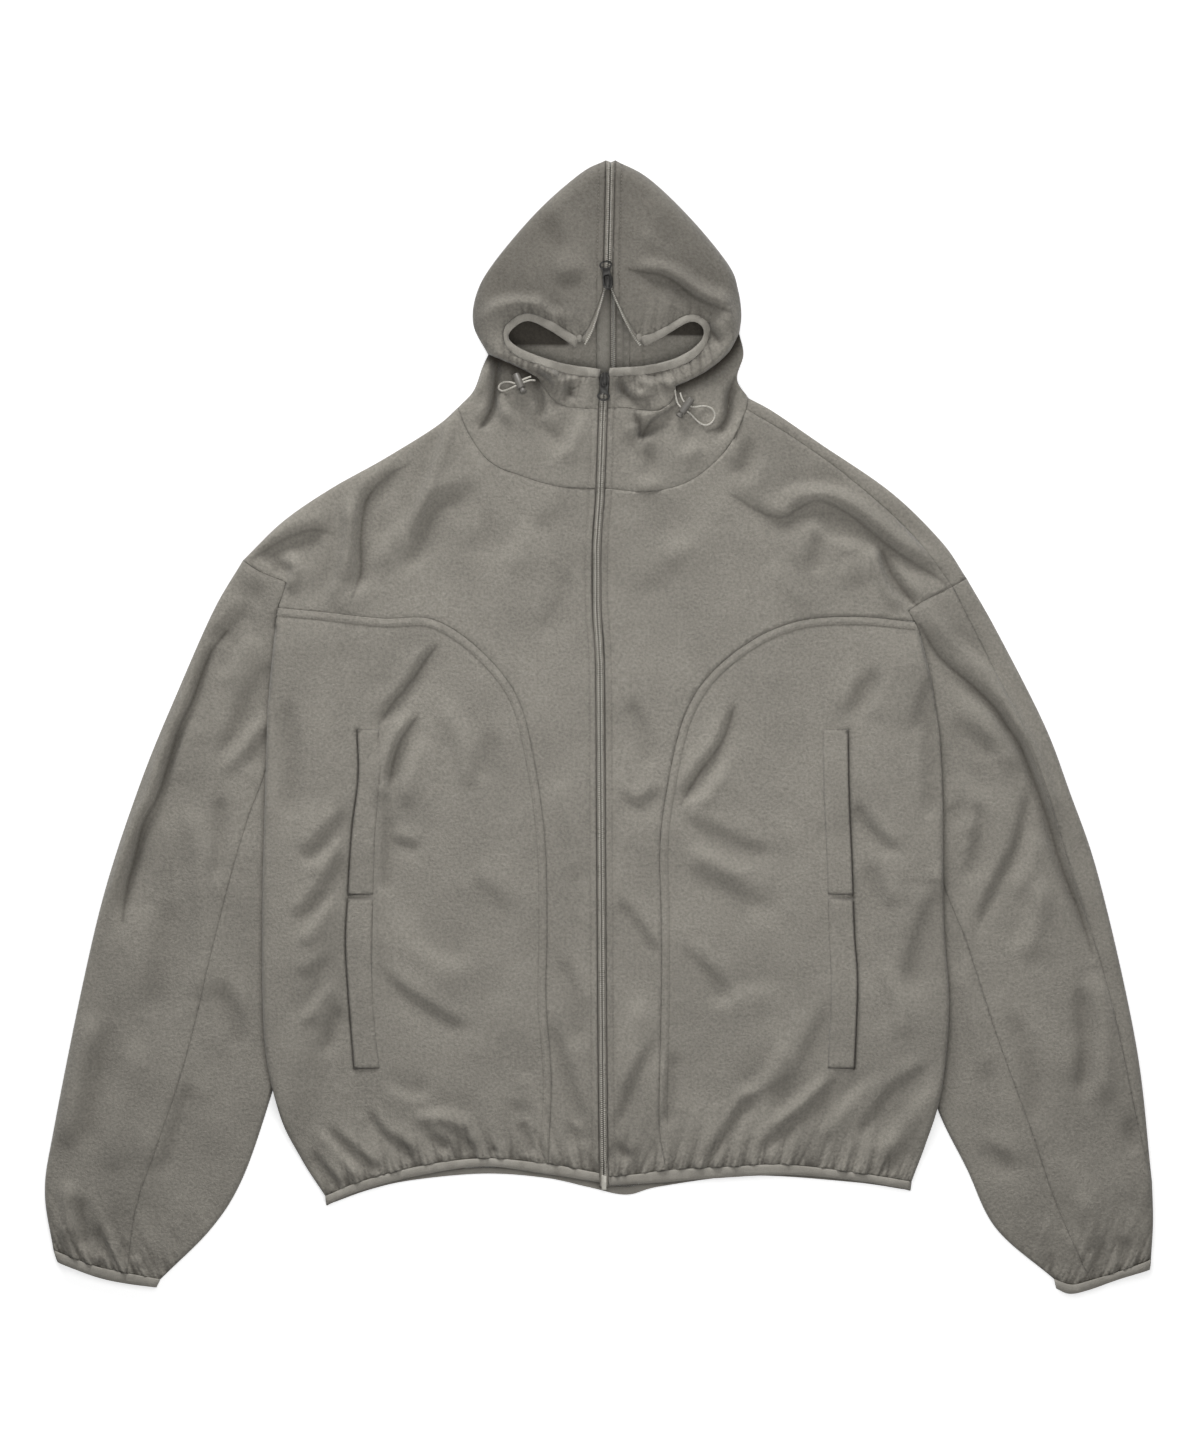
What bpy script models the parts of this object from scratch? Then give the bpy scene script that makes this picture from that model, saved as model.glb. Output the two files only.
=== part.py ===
"""Zip-up fleece hoodie lying flat on its back, front up, hood up.

The garment is made of cut panels.  Every panel is a thin cloth wall whose
outline follows its seams and whose height comes from one height field for each
layer: the front and the hood on top, the sleeves tucked under the body's sides,
the back on the table.  Lengths in this file are millimetres, and MM turns them
into metres when a mesh is made.  +X is the viewer's right, +Y points to the
hood, +Z is up, and the table is at zero.
"""
import math

import bpy
import numpy as np
from mathutils import Matrix, Vector
from mathutils.geometry import delaunay_2d_cdt

MM = 0.001

# Driving dimensions of the cloth and the zip.
CLOTH = 1.6              # wall of one layer of fleece
SEAM = 0.3               # clearance between two pieces
EDGE_GAP = 0.6           # clearance between top and bottom cloth along a rolled edge
CHEST_LIFT = 6.8         # top of the front over the table
NECK_LIFT = 15.0         # top of the collar
CROWN_LIFT = 30.0        # top of the hood
SIDE_LIFT = 10.0         # how much a tucked sleeve raises the body's side
SLEEVE_LIFT = 12.0       # top of a sleeve along its middle
TUCK_LIFT = 8.0          # top of a sleeve where it is tucked under
ZIP_GAP = 6.5            # from the chain's middle to the fleece edge
CHAIN_HALF = 2.3         # half the width of the coil chain
CHAIN_THICK = 2.0
TAPE_THICK = 0.9
BINDING_THICK = 2.4      # elastic binding folded round an edge
CORD_RADIUS = 0.9
BODY_GRID = 33.0         # spacing of the points inside a body panel
SLEEVE_GRID = 32.0
HOOD_GRID = 17.0
BACK_GRID = 60.0

# The front chain's path from the hem to the chin, and the hood chain's path.
FRONT_ZIP = [(4, -446), (3, -377), (2, -260), (1, -99), (0, 57), (-3, 110), (-3, 172),
             (0, 215), (2, 271), (3.2, 308), (4.75, 328), (4.75, 345)]
HOOD_ZIP = [(7.4, 400), (7.8, 440), (9, 489), (10, 540)]
BACK_ZIP_X = 12.5        # middle of the chain on the inside of the hood's back


def zip_x(y, path=FRONT_ZIP):
    xs = [point[0] for point in path]
    ys = [point[1] for point in path]
    return float(np.interp(y, ys, xs))


def beside_zip(side, y, path=FRONT_ZIP, reach=ZIP_GAP):
    """A point beside a chain, side -1 on the viewer's left and +1 on the right."""
    return (zip_x(y, path) + side * reach, y)


# Corners where seams and edges meet.
CORNERS = {
    "tip_l": (-339, 157), "tip_r": (348, 140),
    "fold_l": (-297, 136), "fold_r": (292, 109),
    "arch_side_l": (-305, 112), "arch_side_r": (298, 99),
    "lip_l": (-308, 92), "lip_r": (304, 86),
    "side_l": (-315, 18), "side_r": (322, -8),
    "hem_l": (-261, -446), "hem_r": (296, -432),
    "hem_low_l": (-260, -454), "hem_low_r": (295, -440),
    "back_low_l": (-260, -455), "back_low_r": (295, -441),
    "arch_hem_l": (-49, -415), "arch_hem_r": (62, -421),
    "zip_hem_l": beside_zip(-1, -424), "zip_hem_r": beside_zip(1, -427),
    "zip_low_l": beside_zip(-1, -433), "zip_low_r": beside_zip(1, -436),
    "zip_neck_l": beside_zip(-1, 225), "zip_neck_r": beside_zip(1, 225),
    "zip_chin_l": beside_zip(-1, 300), "zip_chin_r": beside_zip(1, 301),
    "zip_top_l": beside_zip(-1, 330), "zip_top_r": beside_zip(1, 331),
    "neck_l": (-135, 302), "neck_r": (141, 311),
    "strip_neck_r": (139, 300), "strip_arm_r": (334, 132), "strip_cuff_r": (524, -433),
    "cord_l": (-59, 330), "cord_r": (72, 322),
    "roll_l": (-106, 352), "roll_r": (132, 372),
    "crown_l": beside_zip(-1, 536, HOOD_ZIP), "crown_r": beside_zip(1, 536, HOOD_ZIP),
    "vee_top_l": beside_zip(-1, 411, HOOD_ZIP), "vee_top_r": beside_zip(1, 411, HOOD_ZIP),
    "vee_end_l": (-20, 367), "vee_end_r": (37, 368),
    "armpit_l": (-283, 60), "armpit_r": (293, 36),
    "seam_top_l": (-290, 84), "seam_top_r": (294, 64),
    "inner_l": (-278, 18), "inner_r": (290, -8),
    "cuff_out_l": (-519, -497), "cuff_out_r": (523, -506),
    "cuff_in_l": (-417, -525), "cuff_in_r": (431, -525),
    "cuff_seam_l": (-449, -519), "cuff_seam_r": (465, -526),
    "cuff_low_out_l": (-515, -509), "cuff_low_out_r": (522, -516),
    "cuff_low_in_l": (-421, -533), "cuff_low_in_r": (433, -534),
    "cap_face_l": (-23, 358), "cap_face_r": (42, 359),
    "cap_zip_l": beside_zip(-1, 338), "cap_zip_r": beside_zip(1, 339),
    "tape_end_l": (-13, 361), "tape_end_r": (37, 360),
    "back_zip_l": (BACK_ZIP_X - CHAIN_HALF - SEAM, 535),
    "back_zip_r": (BACK_ZIP_X + CHAIN_HALF + SEAM, 535),
    "nape_l": (BACK_ZIP_X - CHAIN_HALF - SEAM, 280),
    "nape_r": (BACK_ZIP_X + CHAIN_HALF + SEAM, 280),
}

# Seams and edges: the points between two corners.
CURVES = {
    # hood outline, from the crown to where the roll meets the neck
    "hood_l": ["crown_l", (-18, 524), (-59, 488), (-100, 440), (-117, 410), (-120, 380), "roll_l"],
    "hood_r": ["crown_r", (46, 519), (86, 481), (122, 437), (131, 413), (134, 390), "roll_r"],
    # sides of the neck
    "neckside_l": ["roll_l", (-112, 339), (-120, 318), "neck_l"],
    "neckside_r": ["roll_r", (136, 352), (130, 329), "neck_r"],
    # shoulder outlines
    "shoulder_l": ["neck_l", (-156, 284), (-206, 253), (-256, 225), (-301, 194), "tip_l"],
    "shoulder_r": ["neck_r", (165, 298), (209, 268), (276, 222), (324, 175), "tip_r"],
    "shoulder_seam_r": ["strip_neck_r", (181, 275), (233, 238), (293, 185), "strip_arm_r"],
    # armhole seams on top
    "armhole_l": ["tip_l", (-322, 146), "fold_l"],
    "armhole_out_r": ["tip_r", "strip_arm_r"],
    "armhole_in_r": ["strip_arm_r", (313, 122), "fold_r"],
    "step_l": ["fold_l", "arch_side_l"],
    "step_r": ["fold_r", "arch_side_r"],
    "step_low_l": ["arch_side_l", "lip_l"],
    "step_low_r": ["arch_side_r", "lip_r"],
    # folded sides of the body
    "lip_side_l": ["lip_l", (-312, 55), "side_l"],
    "lip_side_r": ["lip_r", (315, 40), "side_r"],
    "side_l": ["side_l", (-318, -85), (-320, -184), (-318, -298), (-304, -367), (-284, -410), "hem_l"],
    "side_r": ["side_r", (325, -70), (326, -184), (331, -266), (324, -344), (309, -396), "hem_r"],
    # curved yoke and princess seams
    "yoke_l": ["arch_side_l", (-262, 108), (-206, 102), (-159, 101), (-115, 73), (-79, 28),
               (-62, -35), (-52, -110), (-50, -195), (-51, -260), (-46, -336), "arch_hem_l"],
    "yoke_r": ["arch_side_r", (242, 104), (189, 100), (145, 82), (104, 49), (80, 10),
               (66, -45), (57, -110), (58, -183), (58, -260), (56, -374), "arch_hem_r"],
    # hem of the front and of the back
    "hem_out_l": ["hem_l", (-227, -432), (-169, -417), (-110, -410), "arch_hem_l"],
    "hem_in_l": ["arch_hem_l", (-27, -419), "zip_hem_l"],
    "hem_out_r": ["hem_r", (239, -423), (175, -416), (120, -418), "arch_hem_r"],
    "hem_in_r": ["arch_hem_r", (35, -425), "zip_hem_r"],
    "low_l": ["hem_low_l", (-227, -441), (-169, -426), (-110, -418), (-52, -425), "zip_low_l"],
    "low_r": ["hem_low_r", (239, -431), (175, -426), (110, -429), (62, -433), "zip_low_r"],
    "hem_back": ["hem_l", (-218, -432), (-177, -424), (-110, -419), (-52, -422), (-10, -430),
                 (25, -437), (58, -430), (142, -418), (239, -424), "hem_r"],
    "low_back": ["back_low_l", (-218, -440), (-177, -431), (-110, -425), (-52, -429),
                 (-10, -438), (25, -445), (58, -437), (142, -427), (239, -433), "back_low_r"],
    # collar seams
    "neckseam_l": ["neck_l", (-124, 276), (-104, 250), (-72, 236), (-40, 227), "zip_neck_l"],
    "neckseam_r": ["strip_neck_r", (122, 265), (97, 240), (72, 227), (40, 222), "zip_neck_r"],
    "neckstrip_r": ["neck_r", "strip_neck_r"],
    "channel_l": ["cord_l", (-47, 312), (-34, 303), (-20, 301), "zip_chin_l"],
    "channel_r": ["cord_r", (69, 310), (57, 299), (40, 299), (25, 301), "zip_chin_r"],
    # lower edge of the hood's roll, over the collar
    "roll_l": ["roll_l", (-87, 344), (-72, 337), "cord_l"],
    "roll_r": ["roll_r", (122, 354), (104, 338), (86, 328), "cord_r"],
    # hidden upper edge of the collar, under the roll
    "under_l": ["roll_l", (-93, 351), (-74, 342), "cord_l"],
    "under_r": ["roll_r", (116, 357), (100, 343), (83, 332), "cord_r"],
    # face opening: where the hood meets its binding, and the binding's free edge
    "face_l": ["vee_end_l", (-47, 383), (-71, 390), (-88, 380), (-91, 366), (-81, 351),
               (-52, 340), (-22, 332), "zip_top_l"],
    "face_r": ["vee_end_r", (55, 374), (84, 389), (101, 383), (104, 371), (95, 353),
               (75, 340), (42, 333), "zip_top_r"],
    # free edges of the opened hood zip
    "vee_l": ["vee_top_l", (-6, 387), (-12, 375), "vee_end_l"],
    "vee_r": ["vee_top_r", (23, 389), (30, 377), "vee_end_r"],
    # back neck seam
    "nape_out_l": ["neck_l", (-75, 284), "nape_l"],
    "nape_mid": ["nape_l", "nape_r"],
    "nape_out_r": ["neck_r", (80, 285), "nape_r"],
    "crown": ["crown_l", "crown_r"],
    "crown_back_l": ["back_zip_l", "crown_l"],
    "crown_back_r": ["back_zip_r", "crown_r"],
    "back_zip_l": ["nape_l", "back_zip_l"],
    "back_zip_r": ["nape_r", "back_zip_r"],
    # free edges of the face binding, and its ends
    "lip_l": ["cap_face_l", (-46, 373), (-68, 383), (-83, 375), (-86, 366), (-75, 357),
              (-52, 348), (-27, 342), "cap_zip_l"],
    "lip_r": ["cap_face_r", (60, 368), (85, 382), (97, 377), (97, 367), (85, 355),
              (65, 346), (40, 341), "cap_zip_r"],
    "cap_face_l": ["vee_end_l", "cap_face_l"],
    "cap_face_r": ["vee_end_r", "cap_face_r"],
    "cap_zip_l": ["zip_top_l", "cap_zip_l"],
    "cap_zip_r": ["zip_top_r", "cap_zip_r"],
    "cap_tape_l": ["vee_end_l", "tape_end_l"],
    "cap_tape_r": ["vee_end_r", "tape_end_r"],
    # ends of the hem and cuff bindings
    "cap_hem_l": ["hem_l", "hem_low_l"],
    "cap_hem_r": ["hem_r", "hem_low_r"],
    "cap_back_l": ["hem_l", "back_low_l"],
    "cap_back_r": ["hem_r", "back_low_r"],
    "cap_low_l": ["zip_hem_l", "zip_low_l"],
    "cap_low_r": ["zip_hem_r", "zip_low_r"],
    "cap_out_l": ["cuff_out_l", "cuff_low_out_l"],
    "cap_out_r": ["cuff_out_r", "cuff_low_out_r"],
    "cap_in_l": ["cuff_in_l", "cuff_low_in_l"],
    "cap_in_r": ["cuff_in_r", "cuff_low_in_r"],
    # sleeve outlines
    "outer_l": ["tip_l", (-367, 109), (-402, 30), (-434, -48), (-467, -146), (-490, -240),
                (-518, -380), (-527, -441), "cuff_out_l"],
    "outer_r": ["tip_r", (376, 91), (421, 3), (445, -60), (474, -146), (509, -303), "strip_cuff_r"],
    "outer_low_r": ["strip_cuff_r", (525, -470), "cuff_out_r"],
    "inner_top_l": ["armpit_l", (-280, 40), "inner_l"],
    "inner_top_r": ["armpit_r", (291, 12), "inner_r"],
    "inner_l": ["inner_l", (-277, -80), (-286, -190), (-299, -298), (-315, -360), (-340, -431),
                (-369, -477), "cuff_in_l"],
    "inner_r": ["inner_r", (292, -100), (298, -200), (307, -310), (321, -365), (348, -420),
                (376, -477), "cuff_in_r"],
    "hidden_up_l": ["lip_l", "seam_top_l"],
    "hidden_up_r": ["lip_r", "seam_top_r"],
    "hidden_low_l": ["seam_top_l", "armpit_l"],
    "hidden_low_r": ["seam_top_r", "armpit_r"],
    "tuck_l": ["armpit_l", (-279, 40), (-276, 19), (-290, 18), "side_l"],
    "tuck_r": ["armpit_r", (290, 12), (288, -7), (300, -8), "side_r"],
    "armhole_back_l": ["tip_l", (-320, 122), (-302, 92), "armpit_l"],
    "armhole_back_r": ["tip_r", (327, 96), (309, 62), "armpit_r"],
    # sleeve seams
    "seam_l": ["seam_top_l", (-303, 10), (-319, -48), (-335, -91), (-356, -165), (-391, -309),
               (-417, -390), (-440, -457), "cuff_seam_l"],
    "seam_r": ["seam_top_r", (307, -50), (325, -146), (348, -206), (376, -293), (408, -381),
               (433, -454), "cuff_seam_r"],
    "strip_r": ["strip_arm_r", (376, 49), (408, -19), (446, -135), (484, -258), (509, -373),
                "strip_cuff_r"],
    # cuffs
    "cuff_far_l": ["cuff_out_l", (-480, -512), "cuff_seam_l"],
    "cuff_near_l": ["cuff_seam_l", "cuff_in_l"],
    "cuff_far_r": ["cuff_out_r", (494, -517), "cuff_seam_r"],
    "cuff_near_r": ["cuff_seam_r", (448, -530), "cuff_in_r"],
    "cuff_low_l": ["cuff_low_out_l", (-478, -523), (-451, -529), "cuff_low_in_l"],
    "cuff_low_r": ["cuff_low_out_r", (493, -525), (465, -535), (446, -539), "cuff_low_in_r"],
}

# The largest folds.  layer: b body, s sleeve, n neck and hood.  A positive height
# is a ridge and a negative one a trough; width is the half width of its slope.
FOLDS = [
    # layer, path, width, height
    ("b", [(-322, 158), (-285, 180), (-255, 172)], 13, -4.5),
    ("b", [(-283, 126), (-259, 151), (-243, 174), (-236, 200)], 13, 5.0),
    ("b", [(-252, 122), (-228, 165), (-226, 202), (-180, 248)], 12, -4.0),
    ("b", [(-219, 158), (-183, 198), (-158, 250)], 14, 5.0),
    ("b", [(-202, 138), (-164, 190), (-142, 226)], 12, -3.5),
    ("b", [(-200, -10), (-176, 40), (-158, 60)], 14, -3.0),
    ("b", [(-182, -2), (-197, -70), (-201, -84)], 13, -3.0),
    ("b", [(-241, -60), (-266, -79)], 11, 3.5),
    ("b", [(-249, -99), (-280, -143)], 12, 4.0),
    ("b", [(-221, -366), (-200, -390), (-180, -414)], 10, 4.0),
    ("b", [(-75, -375), (-68, -405)], 9, 3.5),
    ("b", [(131, 212), (172, 203), (206, 218), (253, 199), (297, 163), (320, 138)], 13, -4.5),
    ("b", [(196, 198), (228, 178), (258, 177)], 15, 4.5),
    ("b", [(145, 272), (136, 252), (124, 239)], 10, -3.0),
    ("b", [(78, -74), (97, -48), (116, -26)], 13, 3.5),
    ("b", [(127, -106), (155, -130), (170, -161), (208, -166)], 14, -3.0),
    ("b", [(72, -132), (104, -159), (136, -181), (170, -232)], 16, 3.5),
    ("b", [(242, -332), (207, -366), (175, -397), (163, -414)], 12, -3.0),
    ("b", [(323, -332), (290, -375), (261, -408)], 12, 4.0),
    ("b", [(-90, 143), (-62, 196)], 16, 2.5),
    ("s", [(-350, 95), (-371, 83), (-389, 20), (-420, -59), (-446, -146), (-453, -200)], 12, -4.0),
    ("s", [(-355, -10), (-356, -80), (-366, -165)], 15, 3.0),
    ("s", [(-479, -270), (-499, -350), (-507, -401)], 12, 3.0),
    ("s", [(312, 73), (368, 22), (404, -34), (427, -103), (441, -145)], 12, -5.0),
    ("s", [(330, 95), (385, 22), (412, -8)], 14, 3.5),
    ("s", [(467, -233), (478, -282), (475, -360)], 14, 3.0),
    ("n", [(-103, 350), (-99, 328), (-99, 308), (-128, 272)], 9, -3.0),
    ("n", [(125, 325), (120, 315), (119, 302)], 9, -3.0),
]


def zip_edge(side, start, end, path=FRONT_ZIP, reach=ZIP_GAP):
    """Points beside a chain between two heights, without the two ends."""
    low, high = sorted((start, end))
    points = [beside_zip(side, y, path, reach) for _, y in path if low + 4 < y < high - 4]
    return points if start < end else points[::-1]


for SIDE, END in ((-1, "_l"), (1, "_r")):
    for NAME, START, STOP in (("zip_body", "zip_hem", "zip_neck"), ("zip_collar", "zip_neck", "zip_chin"),
                              ("zip_chin", "zip_chin", "zip_top")):
        FIRST = CORNERS[START + END]
        LAST = CORNERS[STOP + END]
        CURVES[NAME + END] = [FIRST, *zip_edge(SIDE, FIRST[1], LAST[1]), LAST]
    CURVES["zip_hood" + END] = ["crown" + END, *zip_edge(SIDE, 536, 411, HOOD_ZIP), "vee_top" + END]
    # the tape's inner edge beside the chain, and past the hood slider its free edge
    INNER = CHAIN_HALF + SEAM
    CURVES["tape_front" + END] = [beside_zip(SIDE, y, FRONT_ZIP, INNER)
                                  for y in (-438, -377, -260, -99, 57, 110, 172, 215, 271, 308, 334)]
    VEE = [(4, 409), (0, 394), (-6, 375)] if SIDE < 0 else [(11.5, 409), (20, 389), (29, 371)]
    CURVES["tape_hood" + END] = [beside_zip(SIDE, y, HOOD_ZIP, INNER) for y in (533, 489, 440, 420)]
    CURVES["tape_hood" + END] += VEE + ["tape_end" + END]

CURVES["cap_crown_l"] = [CURVES["tape_hood_l"][0], "crown_l"]
CURVES["cap_crown_r"] = [CURVES["tape_hood_r"][0], "crown_r"]

SAMPLE_STEP = {"face_l": 7, "face_r": 7, "roll_l": 9, "roll_r": 9, "hood_l": 16, "hood_r": 16,
               "channel_l": 9, "channel_r": 9, "under_l": 12, "under_r": 12, "vee_l": 9,
               "vee_r": 9, "neckside_l": 13, "neckside_r": 13}
DEFAULT_STEP = 36.0


def corner(point):
    return CORNERS[point] if isinstance(point, str) else point


def smooth_curve(points, step):
    """Samples of a Catmull-Rom curve through the points, about one step apart."""
    points = np.array(points, float)
    ends = [2 * points[0] - points[1], *points, 2 * points[-1] - points[-2]]
    samples = []
    for before, start, end, after in zip(ends, ends[1:], ends[2:], ends[3:]):
        count = max(1, round(float(np.linalg.norm(end - start)) / step))
        for t in np.arange(count) / count:
            samples.append(0.5 * (2 * start + (end - before) * t
                                  + (2 * before - 5 * start + 4 * end - after) * t * t
                                  + (3 * start - before - 3 * end + after) * t ** 3))
    samples.append(points[-1])
    return np.array(samples)


SAMPLED = {name: smooth_curve([corner(point) for point in points],
                              SAMPLE_STEP.get(name, DEFAULT_STEP))
           for name, points in CURVES.items()}


# ---- distances and height fields ------------------------------------------------

def nearest(xy, polyline):
    """Distance from each point to a polyline, and the nearest point on it."""
    best = np.full(len(xy), 1e9)
    foot = np.zeros_like(xy)
    for start, end in zip(polyline[:-1], polyline[1:]):
        run = end - start
        length = max(float(run @ run), 1e-9)
        t = np.clip(((xy - start) @ run) / length, 0, 1)
        near = start + t[:, None] * run
        gap = np.hypot(*(xy - near).T)
        closer = gap < best
        best[closer] = gap[closer]
        foot[closer] = near[closer]
    return best, foot


def smoothstep(t):
    t = np.clip(t, 0, 1)
    return t * t * (3 - 2 * t)


def fold_height(xy, layers):
    total = np.zeros(len(xy))
    for layer, path, width, height in FOLDS:
        if layer in layers:
            gap, _ = nearest(xy, np.array(path, float))
            total += height * np.exp(-(gap / width) ** 2)
    return total


def joined(*names):
    return np.vstack([SAMPLED[name] for name in names])


SILHOUETTE = [joined("crown", "hood_r", "neckside_r", "shoulder_r", "outer_r", "outer_low_r",
                     "cap_out_r"),
              joined("hood_l", "neckside_l", "shoulder_l", "outer_l", "cap_out_l")]
SIDES = [joined("lip_side_l", "side_l", "cap_hem_l"), joined("lip_side_r", "side_r", "cap_hem_r")]
LOW_SIDES = [joined("side_l", "cap_hem_l"), joined("side_r", "cap_hem_r")]
INNERS = [joined("inner_top_l", "inner_l", "cap_in_l"),
          joined("inner_top_r", "inner_r", "cap_in_r")]
ROLLS = [SAMPLED["roll_l"], SAMPLED["roll_r"]]
FACE = [SAMPLED["face_l"], SAMPLED["face_r"]]
TUCK_TOP = {-1: 130.0, 1: 112.0}      # where each body side starts to rise
ARMPIT_Y = {-1: 60.0, 1: 36.0}
TUCK_SHELF = 10.0                     # the lift holds this far past the sleeve's inner edge
TUCK_RAMP = 40.0


def base_height(xy):
    """Top of the cloth over the table before folds: chest, collar and shoulders."""
    x, y = xy.T
    reach = np.hypot(x - 3, np.minimum(y, 330) - 330)
    collar = 1 - smoothstep((reach - 60) / 150)
    height = CHEST_LIFT + (NECK_LIFT - CHEST_LIFT) * collar
    for centre_x, centre_y in ((-315, 140), (320, 122)):
        height = height + 5.0 * np.exp(-((x - centre_x) / 75) ** 2 - ((y - centre_y) / 62) ** 2)
    ridge = np.interp(y, [p[1] for p in FRONT_ZIP], [p[0] for p in FRONT_ZIP])
    return height + 1.4 * np.exp(-((x - ridge) / 22) ** 2)


def tucked(xy, start, blend):
    """0 in the middle of the body, 1 over a tucked sleeve, fading up the armhole."""
    x, y = xy.T
    total = np.zeros(len(xy))
    for side, inner in ((-1, INNERS[0]), (1, INNERS[1])):
        order = np.argsort(inner[:, 1])
        inner_x = np.interp(y, inner[order, 1], inner[order, 0])
        inward = side * (inner_x - x)
        fade = 1 - smoothstep((inward - TUCK_SHELF) / TUCK_RAMP)
        total += smoothstep((start[side] - y) / blend) * fade
    return total


def sleeve_height(xy):
    """Top of a sleeve: base near the armhole, domed along its middle, low when tucked."""
    x, y = xy.T
    inner, _ = nearest(xy, INNERS[0] if x.mean() < 0 else INNERS[1])
    dome = TUCK_LIFT + (SLEEVE_LIFT - TUCK_LIFT) * smoothstep((inner - 42) / 50)
    dome = dome * (1 - 0.3 * smoothstep((-430 - y) / 70))
    away = smoothstep((125 - y) / 70)
    return base_height(xy) * (1 - away) + dome * away


class Layer:
    """A surface with rolled edges: top and bottom panels meet at half height there."""

    def __init__(self, height, edges, lower=False):
        self.height = height
        self.edges = edges      # (polylines, radius, height of the edge)
        self.lower = lower

    def edge(self, xy):
        gap = np.full(len(xy), 1e9)
        foot = xy.copy()
        radius = np.ones(len(xy))
        middle = np.zeros(len(xy))
        for polylines, roll, level in self.edges:
            levels = level(xy)
            for polyline in polylines:
                here, near = nearest(xy, polyline)
                closer = here / roll < gap / radius
                gap[closer] = here[closer]
                foot[closer] = near[closer]
                radius[closer] = roll
                middle[closer] = levels[closer]
        return gap, foot, radius, middle

    def surface(self, xy, hint=None):
        """Height and outward normal of the outer face, and how far each point is past a roll.

        The hint is the inward direction to use for points right on a rolled edge.
        """
        step = 1.0
        level = self.height(xy)
        slope = np.stack([(self.height(xy + [step, 0]) - self.height(xy - [step, 0])) / 2,
                          (self.height(xy + [0, step]) - self.height(xy - [0, step])) / 2], 1)
        gap, foot, radius, middle = self.edge(xy)
        part = np.clip(gap / radius, 0, 1)
        rise = np.sqrt(np.clip(1 - (1 - part) ** 2, 0, 1))
        share = EDGE_GAP / 2 if not self.lower else -EDGE_GAP / 2
        z = middle + share + (level - middle - share) * rise
        away = xy - foot
        size = np.hypot(*away.T)
        inward = away / np.maximum(size, 1e-6)[:, None]
        if hint is not None:
            inward = np.where(size[:, None] > 0.3, inward, hint)
        tilt = -slope * (rise * radius)[:, None]
        tilt -= ((level - middle) * (1 - part))[:, None] * inward
        upright = rise * radius
        normal = np.column_stack([tilt, upright])
        if self.lower:
            normal = np.column_stack([-tilt, -upright])
        return z, normal, part


def on_table(xy):
    return np.zeros(len(xy))


def half_height(xy):
    return 0.5 * base_height(xy)


def body_height(xy):
    side = tucked(xy, TUCK_TOP, 60.0)
    free = base_height(xy) + SIDE_LIFT * side + fold_height(xy, "b")
    return np.maximum(free, (TUCK_LIFT + 1.2) * side + 4.6)


def back_lift(xy):
    return (TUCK_LIFT + 1.2) * tucked(xy, ARMPIT_Y, 38.0)


def side_middle(xy):
    """Where front and back meet at the side: just over the sleeve, then clear of it."""
    y = xy[:, 1]
    over_sleeve = sleeve_height(xy) + 0.8
    free = back_lift(xy) + 3.6
    clear = smoothstep((-280 - y) / 60)
    held = np.where(y > 25, over_sleeve, np.maximum(over_sleeve, free))
    return held * (1 - clear) + free * clear


def sleeve_top(xy):
    return np.maximum(sleeve_height(xy) + fold_height(xy, "s"), 4.6)


def sleeve_middle(xy):
    return np.full(len(xy), 3.6)


def outer_middle(xy):
    return np.minimum(half_height(xy), 5.5)


def neck_height(xy):
    return base_height(xy) + fold_height(xy, "n")


def crown_rise(xy):
    x, y = xy.T
    return smoothstep((y + 0.25 * np.abs(x - 8) - 325) / 90)


def hood_height(xy):
    rise = (CROWN_LIFT - NECK_LIFT) * crown_rise(xy)
    roll = np.minimum(nearest(xy, ROLLS[0])[0], nearest(xy, ROLLS[1])[0])
    face = np.minimum(nearest(xy, FACE[0])[0], nearest(xy, FACE[1])[0])
    dip = 4.0 * np.exp(-(face / 11) ** 2) * crown_rise(xy)
    return base_height(xy) + rise + 3.0 * np.exp(-(roll / 14) ** 2) - dip


def hood_middle(xy):
    return 0.42 * (base_height(xy) + (CROWN_LIFT - NECK_LIFT) * crown_rise(xy))


def roll_middle(xy):
    return base_height(xy) + SEAM


HOOD_ROLL = 14.0
SIDE_ROLL = 6.0
FRONT = Layer(body_height, [(SILHOUETTE, 7.0, outer_middle), (SIDES, SIDE_ROLL, side_middle)])
BACK = Layer(back_lift, [(SILHOUETTE, 7.0, outer_middle), (LOW_SIDES, SIDE_ROLL, side_middle)],
             True)
SLEEVE = Layer(sleeve_top, [(SILHOUETTE, 7.0, outer_middle), (INNERS, 4.0, sleeve_middle)])
SLEEVE_UNDER = Layer(on_table, [(SILHOUETTE, 7.0, outer_middle), (INNERS, 4.0, sleeve_middle)], True)
NECK = Layer(neck_height, [(SILHOUETTE, 8.0, hood_middle)])
HOOD = Layer(hood_height, [(SILHOUETTE, HOOD_ROLL, hood_middle), (ROLLS, 5.0, roll_middle)])
HOOD_BACK = Layer(on_table, [(SILHOUETTE, 8.0, hood_middle)], True)

# ---- building a panel -------------------------------------------------------------


def material(name, colour, roughness, metallic=0.0):
    made = bpy.data.materials.new(name)
    made.use_nodes = True
    shader = made.node_tree.nodes["Principled BSDF"]
    shader.inputs["Base Color"].default_value = (*colour, 1.0)
    shader.inputs["Roughness"].default_value = roughness
    shader.inputs["Metallic"].default_value = metallic
    made.diffuse_color = (*colour, 1.0)
    return made


def add_mesh(name, points, faces, made):
    mesh = bpy.data.meshes.new(name)
    mesh.from_pydata([tuple(point) for point in points], [], faces)
    mesh.validate()
    mesh.materials.append(made)
    thing = bpy.data.objects.new(name, mesh)
    bpy.context.scene.collection.objects.link(thing)
    return thing


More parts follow.
